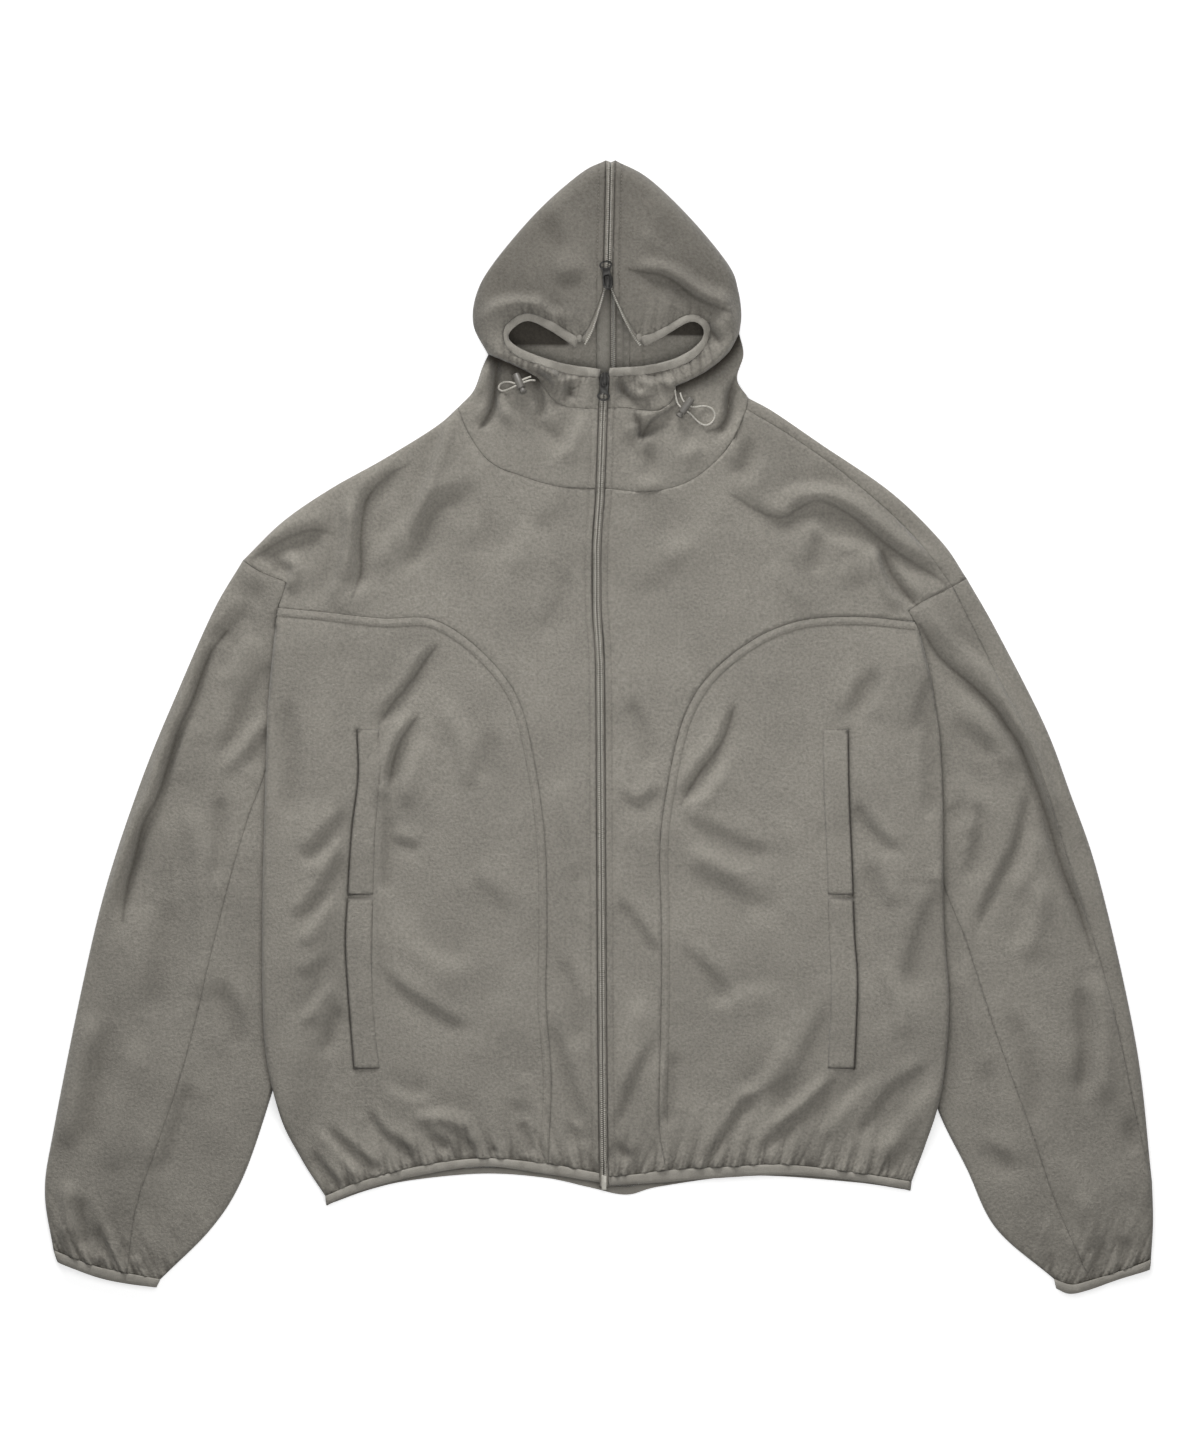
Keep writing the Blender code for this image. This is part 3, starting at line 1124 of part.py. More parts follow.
# Each cord leaves the hole at the channel's end, runs through its lock, loops over the
# collar and comes back through the lock: x, y, z in millimetres.
CORD_ROUTES = {
    "left": [(-61.5, 327.2, 18.6), (-66.2, 327.0, 21.2), (-71.86, 325.09, 23.71),
             (-73.96, 324.15, 23.71), (-77.62, 322.53, 23.71), (-79.72, 321.59, 23.71),
             (-83.8, 319.8, 21.8), (-87.8, 318.4, 17.6), (-92.6, 317.4, 14.3), (-96.0, 320.0, 12.9),
             (-94.6, 323.8, 13.7), (-90.0, 325.7, 16.6), (-85.2, 325.4, 20.4),
             (-80.80, 324.01, 22.31), (-78.70, 324.95, 22.31), (-75.04, 326.57, 22.31),
             (-72.94, 327.51, 22.31), (-68.8, 329.4, 21.3), (-65.4, 330.6, 20.2)],
    "right": [(70.8, 319.0, 17.9), (71.7, 312.6, 18.4), (73.2, 306.4, 18.9), (75.82, 302.42, 19.0),
              (77.71, 301.11, 19.0), (80.99, 298.83, 19.0), (82.88, 297.52, 19.0),
              (86.8, 294.4, 17.6), (91.4, 289.6, 15.6), (96.6, 285.8, 14.8), (102.2, 285.3, 14.3),
              (107.0, 289.0, 13.9), (108.8, 294.6, 13.6), (106.3, 300.2, 14.2), (100.6, 302.9, 15.4),
              (95.2, 302.9, 17.0), (90.2, 301.9, 18.6), (86.30, 302.45, 19.0), (84.41, 303.76, 19.0),
              (81.13, 306.04, 19.0), (79.24, 307.35, 19.0), (77.0, 311.6, 18.7), (75.9, 315.6, 18.2)],
}
CORD_STEP = 3.0


def cord(side):
    route = smooth_curve(CORD_ROUTES[side], CORD_STEP)
    curve = bpy.data.curves.new("cord_" + side, "CURVE")
    curve.dimensions = "3D"
    spline = curve.splines.new("POLY")
    spline.points.add(len(route) - 1)
    for point, place_at in zip(spline.points, route):
        point.co = (*(place_at * MM), 1.0)
    curve.bevel_depth = CORD_RADIUS * MM
    curve.bevel_resolution = 2
    curve.use_fill_caps = True
    curve.materials.append(CORD)
    thing = bpy.data.objects.new("cord_" + side, curve)
    bpy.context.scene.collection.objects.link(thing)


for SIDE_NAME in ("left", "right"):
    cord(SIDE_NAME)
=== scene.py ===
"""Zip-up fleece hoodie, laid flat on its back with the hood up and closed."""
import math

import bmesh
import bpy
import numpy as np
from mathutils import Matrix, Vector, kdtree, noise
from mathutils.geometry import delaunay_2d_cdt


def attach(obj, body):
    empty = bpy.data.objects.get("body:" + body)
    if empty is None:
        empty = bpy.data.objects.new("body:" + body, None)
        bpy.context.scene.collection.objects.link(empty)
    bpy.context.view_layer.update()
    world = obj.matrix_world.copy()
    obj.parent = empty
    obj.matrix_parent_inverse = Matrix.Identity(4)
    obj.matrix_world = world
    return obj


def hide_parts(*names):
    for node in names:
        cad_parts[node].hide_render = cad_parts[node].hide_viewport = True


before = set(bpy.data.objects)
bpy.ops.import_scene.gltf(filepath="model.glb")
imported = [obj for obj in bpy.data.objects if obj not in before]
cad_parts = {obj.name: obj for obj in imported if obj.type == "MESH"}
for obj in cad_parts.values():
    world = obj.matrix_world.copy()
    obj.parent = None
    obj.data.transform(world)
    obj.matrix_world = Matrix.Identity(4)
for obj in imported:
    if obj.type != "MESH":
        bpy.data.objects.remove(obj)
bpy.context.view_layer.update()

# ---- Camera, floor and light ---------------------------------------------------
# The hoodie is seen from straight above, as a flat lay on a pale studio floor.
# One broad soft lamp at the hood's side gives the folds their shade, with painted
# shade in the cloth's colour along their troughs and seams, and the pale room fills the rest.
MM = 0.001
BODY = "garment"
VIEW_HEIGHT = 5.0
VIEW_LENGTH = 1.368          # how much of the floor the picture's height covers
VIEW_CENTRE = (0.0, 0.0057)

camera_data = bpy.data.cameras.new("camera")
camera_data.sensor_fit = "VERTICAL"
camera_data.sensor_height = 36.0
camera_data.lens = 36.0 * VIEW_HEIGHT / VIEW_LENGTH
camera = bpy.data.objects.new("camera", camera_data)
camera.location = (*VIEW_CENTRE, VIEW_HEIGHT)
bpy.context.scene.collection.objects.link(camera)
bpy.context.scene.camera = camera


def area_lamp(name, place, target, size, power):
    data = bpy.data.lights.new(name, "AREA")
    data.shape = "RECTANGLE"
    data.size, data.size_y = size
    data.energy = power
    lamp = bpy.data.objects.new(name, data)
    lamp.location = place
    lamp.rotation_euler = (Vector(target) - Vector(place)).to_track_quat("-Z", "Y").to_euler()
    bpy.context.scene.collection.objects.link(lamp)


area_lamp("soft_key", (-1.2, 6.0, 2.0), (0, 0, 0), (3.2, 1.6), 350)
area_lamp("overhead", (0.0, 0.12, 0.95), (0, 0.12, 0), (0.8, 0.8), 5.0)
area_lamp("soft_fill", (3.0, -3.0, 4.4), (0, 0, 0), (3.0, 3.0), 40)


def node_tree(owner):
    owner.use_nodes = True
    owner.node_tree.nodes.clear()
    return owner.node_tree


def add_node(tree, kind, values=(), links=(), **settings):
    """A node with its settings, socket values and incoming links."""
    node = tree.nodes.new(kind)
    for key, value in settings.items():
        setattr(node, key, value)
    for socket, value in dict(values).items():
        node.inputs[socket].default_value = value
    for socket, source in dict(links).items():
        tree.links.new(source, node.inputs[socket])
    return node


def sees_background(tree, rays):
    """1 for what the camera sees, also through glass or in a reflection."""
    direct = add_node(tree, "ShaderNodeMath", {},
                      {0: rays.outputs["Is Camera Ray"], 1: rays.outputs["Is Glossy Ray"]},
                      operation="MAXIMUM")
    return add_node(tree, "ShaderNodeMath", {},
                    {0: direct.outputs[0], 1: rays.outputs["Is Transmission Ray"]},
                    operation="MAXIMUM").outputs[0]


world = bpy.data.worlds.new("studio")
bpy.context.scene.world = world
sky = node_tree(world)
rays = add_node(sky, "ShaderNodeLightPath")
room = add_node(sky, "ShaderNodeBackground", {"Color": (1.0, 1.0, 1.0, 1.0), "Strength": 0.2})
seen = add_node(sky, "ShaderNodeBackground", {"Color": (1.0, 1.0, 1.0, 1.0), "Strength": 1.0})
pick = add_node(sky, "ShaderNodeMixShader", {}, {0: sees_background(sky, rays),
                1: room.outputs[0], 2: seen.outputs[0]})
add_node(sky, "ShaderNodeOutputWorld", {}, {"Surface": pick.outputs[0]})

FLOOR_HALF = 4.0
FLOOR_GAP = 0.0004           # the floor lies this far under the cloth
floor_mesh = bpy.data.meshes.new("studio_floor")
floor_mesh.from_pydata([(x * FLOOR_HALF, y * FLOOR_HALF, -FLOOR_GAP)
                        for x, y in ((-1, -1), (1, -1), (1, 1), (-1, 1))], [], [(0, 1, 2, 3)])
floor = bpy.data.objects.new("studio_floor", floor_mesh)
bpy.context.scene.collection.objects.link(floor)
pale = bpy.data.materials.new("pale_floor")
paint = node_tree(pale)
rays = add_node(paint, "ShaderNodeLightPath")
matte = add_node(paint, "ShaderNodeBsdfDiffuse", {"Color": (0.86, 0.86, 0.86, 1.0)})
glow = add_node(paint, "ShaderNodeEmission", {"Color": (1.0, 1.0, 1.0, 1.0), "Strength": 0.6})
both = add_node(paint, "ShaderNodeAddShader", {}, {0: matte.outputs[0], 1: glow.outputs[0]})
lit = add_node(paint, "ShaderNodeMixShader", {}, {0: sees_background(paint, rays),
               1: matte.outputs[0], 2: both.outputs[0]})
add_node(paint, "ShaderNodeOutputMaterial", {}, {"Surface": lit.outputs[0]})
floor_mesh.materials.append(pale)
bpy.context.scene.view_settings.view_transform = "Standard"

# ---- Drawcords -----------------------------------------------------------------
# Two round elastic cords, 1.8 mm, braided.  Each comes out of the hood's channel,
# runs through its lock, makes a small free loop over the collar and goes back
# through the lock into the channel.
CORD_ROUTES = {
    "left": [(-61.5, 327.2, 18.6), (-66.2, 327.0, 21.2), (-71.86, 325.09, 23.71),
             (-73.96, 324.15, 23.71), (-77.62, 322.53, 23.71), (-79.72, 321.59, 23.71),
             (-83.8, 319.8, 21.8), (-87.8, 318.4, 17.6), (-92.6, 317.4, 14.3), (-96.0, 320.0, 12.9),
             (-94.6, 323.8, 13.7), (-90.0, 325.7, 16.6), (-85.2, 325.4, 20.4),
             (-80.80, 324.01, 22.31), (-78.70, 324.95, 22.31), (-75.04, 326.57, 22.31),
             (-72.94, 327.51, 22.31), (-68.8, 329.4, 21.3), (-65.4, 330.6, 20.2)],
    "right": [(70.8, 319.0, 17.9), (71.7, 312.6, 18.4), (73.2, 306.4, 18.9), (75.82, 302.42, 19.0),
              (77.71, 301.11, 19.0), (80.99, 298.83, 19.0), (82.88, 297.52, 19.0),
              (86.8, 294.4, 17.6), (91.4, 289.6, 15.6), (96.6, 285.8, 14.8), (102.2, 285.3, 14.3),
              (107.0, 289.0, 13.9), (108.8, 294.6, 13.6), (106.3, 300.2, 14.2), (100.6, 302.9, 15.4),
              (95.2, 302.9, 17.0), (90.2, 301.9, 18.6), (86.30, 302.45, 19.0), (84.41, 303.76, 19.0),
              (81.13, 306.04, 19.0), (79.24, 307.35, 19.0), (77.0, 311.6, 18.7), (75.9, 315.6, 18.2)],
}
CORD_WIDTH = 0.0018
CORD_STEP = 1.2


def smooth_curve(points, step):
    """Samples of a Catmull-Rom curve through the points, about one step apart."""
    points = np.array(points, float)
    ends = [2 * points[0] - points[1], *points, 2 * points[-1] - points[-2]]
    samples = []
    for before, start, end, after in zip(ends, ends[1:], ends[2:], ends[3:]):
        count = max(1, round(float(np.linalg.norm(end - start)) / step))
        for t in np.arange(count) / count:
            samples.append(0.5 * (2 * start + (end - before) * t
                                  + (2 * before - 5 * start + 4 * end - after) * t * t
                                  + (3 * start - before - 3 * end + after) * t ** 3))
    samples.append(points[-1])
    return np.array(samples)


def principled(name, colour, roughness, metallic=0.0, sheen=0.0, specular=0.5):
    """A new material: returns it, its node tree and its shader."""
    made = bpy.data.materials.new(name)
    tree = node_tree(made)
    shader = add_node(tree, "ShaderNodeBsdfPrincipled",
                      {"Base Color": (*colour, 1.0), "Roughness": roughness, "Metallic": metallic,
                       "Sheen Weight": sheen, "Sheen Roughness": 0.5, "Specular IOR Level": specular})
    add_node(tree, "ShaderNodeOutputMaterial", {}, {"Surface": shader.outputs[0]})
    return made, tree, shader


def bumped(tree, shader, height, distance, strength=1.0, after=None):
    """Feeds a height into the shader as bump, on top of an earlier bump if there is one."""
    bump = add_node(tree, "ShaderNodeBump", {"Strength": strength, "Distance": distance},
                    {"Height": height})
    if after is not None:
        tree.links.new(after.outputs[0], bump.inputs["Normal"])
    tree.links.new(bump.outputs[0], shader.inputs["Normal"])
    return bump


def speckle(tree, scale, detail=2.0, roughness=0.5):
    """Noise on the object's own coordinates: its value as a socket."""
    place = add_node(tree, "ShaderNodeTexCoord").outputs["Object"]
    return add_node(tree, "ShaderNodeTexNoise",
                    {"Scale": scale, "Detail": detail, "Roughness": roughness},
                    {"Vector": place}).outputs["Fac"]


def tinted(tree, fac, low, high, stops=(0.3, 0.7)):
    """A colour ramp between two colours over part of a factor."""
    ramp = add_node(tree, "ShaderNodeValToRGB", {}, {"Fac": fac})
    ramp.color_ramp.elements[0].position = stops[0]
    ramp.color_ramp.elements[0].color = (*low, 1.0)
    ramp.color_ramp.elements[1].position = stops[1]
    ramp.color_ramp.elements[1].color = (*high, 1.0)
    return ramp.outputs["Color"]


def grained(name, colour, roughness, low, high, scale, detail=2.0, bump=0.0, **settings):
    """A material with fine grains between two tones: itself, its tree, shader and grain."""
    made, tree, shader = principled(name, colour, roughness, **settings)
    grain = speckle(tree, scale, detail)
    tree.links.new(tinted(tree, grain, low, high), shader.inputs["Base Color"])
    if bump:
        bumped(tree, shader, grain, bump)
    return made, tree, shader, grain


BRAID, *_ = grained("braided_cord", (0.46, 0.44, 0.39), 0.7, (0.33, 0.31, 0.27), (0.62, 0.6, 0.54),
                    1400.0, 1.0, 0.0003)


def finish(piece, slot, *nodes, body=BODY):
    """Names what a piece rides on and hides the solids that it stands for; the slot, its finish, is not
    used.
    """
    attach(piece, body)
    if nodes:
        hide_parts(*nodes)


for side, route in CORD_ROUTES.items():
    line = smooth_curve(route, CORD_STEP) * MM
    curve = bpy.data.curves.new("drawcord_" + side, "CURVE")
    curve.dimensions = "3D"
    spline = curve.splines.new("POLY")
    spline.points.add(len(line) - 1)
    for point, place in zip(spline.points, line):
        point.co = (*place, 1.0)
    curve.bevel_depth = CORD_WIDTH / 2
    curve.bevel_resolution = 3
    curve.use_fill_caps = True
    curve.materials.append(BRAID)
    cord = bpy.data.objects.new("drawcord_" + side, curve)
    bpy.context.scene.collection.objects.link(cord)
    finish(cord, "cord", "cord_" + side)

# ---- Back ----------------------------------------------------------------------
# The back is one large piece of microfleece, face down on the table.  It is cut
# from the pattern below, whose seams and edges the other panels share: every
# panel's outline is a loop of these curves.
FLEECE_WALL = 1.6
SEAM = 0.1                # the two edges of a sewn seam stay this far apart
CHEST_LIFT = 8.2
NECK_LIFT = 15.6
CROWN_LIFT = 30.0
SIDE_LIFT = 10.0
SLEEVE_LIFT = 12.5
TUCK_LIFT = 8.0
ZIP_REACH = 4.4           # from the chain's middle to the fleece's edge
CHAIN_HALF = 2.3

# The front chain's path from the hem to the chin, and the hood chain's path.
FRONT_ZIP = [(4, -446), (3, -377), (2, -260), (1, -99), (0, 57), (-3, 110), (-3, 172),
             (0, 215), (2, 271), (3.2, 308), (4.75, 328), (4.75, 345)]
HOOD_ZIP = [(7.4, 400), (7.8, 440), (9, 489), (10, 540)]
BACK_ZIP_X = 12.5        # middle of the chain on the inside of the hood's back


def zip_x(y, path=FRONT_ZIP):
    xs = [point[0] for point in path]
    ys = [point[1] for point in path]
    return float(np.interp(y, ys, xs))


def beside_zip(side, y, path=FRONT_ZIP, reach=ZIP_REACH):
    """A point beside a chain, side -1 on the viewer's left and +1 on the right."""
    return (zip_x(y, path) + side * reach, y)


HANDS = (("left", "_l"), ("right", "_r"))

# Corners where seams and edges meet, on the viewer's left and on the right.
CORNERS = {}
for name, left, right in (
        ("tip", (-339, 157), (348, 140)),
        ("fold", (-297, 136), (292, 109)),
        ("arch_side", (-305, 112), (298, 99)),
        ("lip", (-308, 92), (304, 86)),
        ("side", (-315, 18), (322, -8)),
        ("hem", (-261, -446), (296, -432)),
        ("hem_low", (-260, -454), (295, -440)),
        ("back_low", (-260, -455), (295, -441)),
        ("arch_hem", (-49, -415), (62, -421)),
        ("neck", (-135, 302), (141, 311)),
        ("cord", (-59, 330), (72, 322)),
        ("roll", (-106, 352), (132, 372)),
        ("vee_end", (-20, 367), (37, 368)),
        ("armpit", (-283, 60), (293, 36)),
        ("seam_top", (-290, 84), (294, 64)),
        ("inner", (-278, 18), (290, -8)),
        ("cuff_out", (-519, -497), (523, -506)),
        ("cuff_in", (-417, -525), (431, -525)),
        ("cuff_seam", (-449, -519), (465, -526)),
        ("cuff_low_out", (-515, -509), (522, -516)),
        ("cuff_low_in", (-421, -533), (433, -534)),
        ("cap_face", (-23, 358), (42, 359)),
        ("tape_end", (-13, 361), (37, 360))):
    CORNERS.update({name + "_l": left, name + "_r": right})
CORNERS.update({"strip_neck_r": (139, 300), "strip_arm_r": (334, 132), "strip_cuff_r": (524, -433)})
for name, left, right, path in (
        ("zip_hem", -424, -427, FRONT_ZIP), ("zip_low", -433, -436, FRONT_ZIP),
        ("zip_neck", 225, 225, FRONT_ZIP), ("zip_chin", 300, 301, FRONT_ZIP),
        ("zip_top", 330, 331, FRONT_ZIP), ("cap_zip", 338, 339, FRONT_ZIP),
        ("crown", 536, 536, HOOD_ZIP), ("vee_top", 411, 411, HOOD_ZIP)):
    CORNERS.update({name + "_l": beside_zip(-1, left, path), name + "_r": beside_zip(1, right, path)})
for name, y in (("back_zip", 535), ("nape", 280)):
    CORNERS.update({name + "_l": (BACK_ZIP_X - CHAIN_HALF - SEAM, y),
                    name + "_r": (BACK_ZIP_X + CHAIN_HALF + SEAM, y)})

# Seams and edges.  First the pairs: two corners, and the points between them on each side.
CURVES = {}
for name, start, stop, left, right in (
        # hood outline, from the crown to where the roll meets the neck
        ("hood", "crown", "roll", [(-18, 524), (-59, 488), (-100, 440), (-117, 410), (-120, 380)],
         [(46, 519), (86, 481), (122, 437), (131, 413), (134, 390)]),
        # sides of the neck
        ("neckside", "roll", "neck", [(-112, 339), (-120, 318)], [(136, 352), (130, 329)]),
        # shoulder outlines
        ("shoulder", "neck", "tip", [(-156, 284), (-206, 253), (-256, 225), (-301, 194)],
         [(165, 298), (209, 268), (276, 222), (324, 175)]),
        # folded sides of the body
        ("lip_side", "lip", "side", [(-312, 55)], [(315, 40)]),
        ("side", "side", "hem", [(-318, -85), (-320, -184), (-318, -298), (-304, -367), (-284, -410)],
         [(325, -70), (326, -184), (331, -266), (324, -344), (309, -396)]),
        # curved yoke and princess seams
        ("yoke", "arch_side", "arch_hem", [(-262, 108), (-206, 102), (-159, 101), (-115, 73), (-79, 28),
             (-62, -35), (-52, -110), (-50, -195), (-51, -260), (-46, -336)],
         [(242, 104), (189, 100), (145, 82), (104, 49), (80, 10), (66, -45), (57, -110), (58, -183),
          (58, -260), (56, -374)]),
        # hem of the front, and its binding's free edge
        ("hem_out", "hem", "arch_hem", [(-227, -432), (-169, -417), (-110, -410)],
         [(239, -423), (175, -416), (120, -418)]),
        ("hem_in", "arch_hem", "zip_hem", [(-27, -419)], [(35, -425)]),
        ("low", "hem_low", "zip_low", [(-227, -441), (-169, -426), (-110, -418), (-52, -425)],
         [(239, -431), (175, -426), (110, -429), (62, -433)]),
        # seam between the collar and the hood
        ("channel", "cord", "zip_chin", [(-47, 312), (-34, 303), (-20, 301)],
         [(69, 310), (57, 299), (40, 299), (25, 301)]),
        # lower edge of the hood's roll, over the collar
        ("roll", "roll", "cord", [(-87, 344), (-72, 337)], [(122, 354), (104, 338), (86, 328)]),
        # hidden upper edge of the collar, under the roll
        ("under", "roll", "cord", [(-93, 351), (-74, 342)], [(116, 357), (100, 343), (83, 332)]),
        # face opening: where the hood meets its binding, and the binding's free edge
        ("face", "vee_end", "zip_top", [(-47, 383), (-71, 390), (-88, 380), (-91, 366), (-81, 351),
             (-52, 340), (-22, 332)],
         [(55, 374), (84, 389), (101, 383), (104, 371), (95, 353), (75, 340), (42, 333)]),
        # free edges of the opened hood zip
        ("vee", "vee_top", "vee_end", [(-6, 387), (-12, 375)], [(23, 389), (30, 377)]),
        # back neck seam
        ("nape_out", "neck", "nape", [(-75, 284)], [(80, 285)]),
        # free edges of the face binding, and its ends
        ("lip", "cap_face", "cap_zip", [(-46, 373), (-68, 383), (-83, 375), (-86, 366), (-75, 357),
             (-52, 348), (-27, 342)],
         [(60, 368), (85, 382), (97, 377), (97, 367), (85, 355), (65, 346), (40, 341)]),
        # inner edges of the sleeves, under the body's sides
        ("inner_top", "armpit", "inner", [(-280, 40)], [(291, 12)]),
        ("inner", "inner", "cuff_in", [(-277, -80), (-286, -190), (-299, -298), (-315, -360), (-340, -431),
             (-369, -477)], [(292, -100), (298, -200), (307, -310), (321, -365), (348, -420), (376, -477)]),
        # the back's edge below the armpit, and its armhole
        ("tuck", "armpit", "side", [(-279, 40), (-276, 19), (-290, 18)], [(290, 12), (288, -7), (300, -8)]),
        ("armhole_back", "tip", "armpit", [(-320, 122), (-302, 92)], [(327, 96), (309, 62)]),
        # sleeve seams
        ("seam", "seam_top", "cuff_seam", [(-303, 10), (-319, -48), (-335, -91), (-356, -165), (-391, -309),
             (-417, -390), (-440, -457)],
         [(307, -50), (325, -146), (348, -206), (376, -293), (408, -381), (433, -454)]),
        # cuffs
        ("cuff_far", "cuff_out", "cuff_seam", [(-480, -512)], [(494, -517)]),
        ("cuff_near", "cuff_seam", "cuff_in", [], [(448, -530)]),
        ("cuff_low", "cuff_low_out", "cuff_low_in", [(-478, -523), (-451, -529)],
         [(493, -525), (465, -535), (446, -539)])):
    CURVES[name + "_l"] = [start + "_l", *left, stop + "_l"]
    CURVES[name + "_r"] = [start + "_r", *right, stop + "_r"]
# Then the short straight edges between two corners.
for name, start, stop in (("step", "fold", "arch_side"), ("step_low", "arch_side", "lip"),
                          ("crown_back", "back_zip", "crown"), ("back_zip", "nape", "back_zip"),
                          ("cap_face", "vee_end", "cap_face"), ("cap_zip", "zip_top", "cap_zip"),
                          ("cap_tape", "vee_end", "tape_end"), ("cap_hem", "hem", "hem_low"),
                          ("cap_back", "hem", "back_low"), ("cap_low", "zip_hem", "zip_low"),
                          ("cap_out", "cuff_out", "cuff_low_out"), ("cap_in", "cuff_in", "cuff_low_in"),
                          ("hidden_up", "lip", "seam_top"), ("hidden_low", "seam_top", "armpit")):
    CURVES.update({name + end: [start + end, stop + end] for end in ("_l", "_r")})
# And the curves that have no partner, or differ from it.
CURVES.update({
    "shoulder_seam_r": ["strip_neck_r", (181, 275), (233, 238), (293, 185), "strip_arm_r"],
    # armhole seams on top
    "armhole_l": ["tip_l", (-322, 146), "fold_l"],
    "armhole_out_r": ["tip_r", "strip_arm_r"],
    "armhole_in_r": ["strip_arm_r", (313, 122), "fold_r"],
    # hem of the back, and its binding's free edge
    "hem_back": ["hem_l", (-218, -432), (-177, -424), (-110, -419), (-52, -422), (-10, -430), (25, -437),
        (58, -430), (142, -418), (239, -424), "hem_r"],
    "low_back": ["back_low_l", (-218, -440), (-177, -431), (-110, -425), (-52, -429), (-10, -438),
        (25, -445), (58, -437), (142, -427), (239, -433), "back_low_r"],
    # collar seams
    "neckseam_l": ["neck_l", (-124, 276), (-104, 250), (-72, 236), (-40, 227), "zip_neck_l"],
    "neckseam_r": ["strip_neck_r", (122, 265), (97, 240), (72, 227), (40, 222), "zip_neck_r"],
    "neckstrip_r": ["neck_r", "strip_neck_r"],
    "nape_mid": ["nape_l", "nape_r"],
    "crown": ["crown_l", "crown_r"],
    # sleeve outlines
    "outer_l": ["tip_l", (-367, 109), (-402, 30), (-434, -48), (-467, -146), (-490, -240), (-518, -380),
        (-527, -441), "cuff_out_l"],
    "outer_r": ["tip_r", (376, 91), (421, 3), (445, -60), (474, -146), (509, -303), "strip_cuff_r"],
    "outer_low_r": ["strip_cuff_r", (525, -470), "cuff_out_r"],
    "strip_r": ["strip_arm_r", (376, 49), (408, -19), (446, -135), (484, -258), (509, -373),
        "strip_cuff_r"],
})


def zip_edge(side, start, end, path=FRONT_ZIP, reach=ZIP_REACH):
    """Points beside a chain between two heights, without the two ends."""
    low, high = sorted((start, end))
    points = [beside_zip(side, y, path, reach) for _, y in path if low + 4 < y < high - 4]
    return points if start < end else points[::-1]


for side, end in ((-1, "_l"), (1, "_r")):
    for name, start, stop in (("zip_body", "zip_hem", "zip_neck"),
                              ("zip_collar", "zip_neck", "zip_chin"),
                              ("zip_chin", "zip_chin", "zip_top")):
        first = CORNERS[start + end]
        last = CORNERS[stop + end]
        CURVES[name + end] = [first, *zip_edge(side, first[1], last[1]), last]
    CURVES["zip_hood" + end] = ["crown" + end, *zip_edge(side, 536, 411, HOOD_ZIP), "vee_top" + end]
    vee = [(4, 409), (0, 394), (-6, 375)] if side < 0 else [(11.5, 409), (20, 389), (29, 371)]
    CURVES["tape_hood" + end] = [beside_zip(side, y, HOOD_ZIP, 0.35) for y in (533, 489, 440, 420)]
    CURVES["tape_hood" + end] += vee + ["tape_end" + end]
CURVES["cap_crown_l"] = [CURVES["tape_hood_l"][0], "crown_l"]
CURVES["cap_crown_r"] = [CURVES["tape_hood_r"][0], "crown_r"]
CUT_STEP = 3.6
SEAM_LINES = {name: smooth_curve([CORNERS[p] if isinstance(p, str) else p for p in points], CUT_STEP)
              for name, points in CURVES.items()}

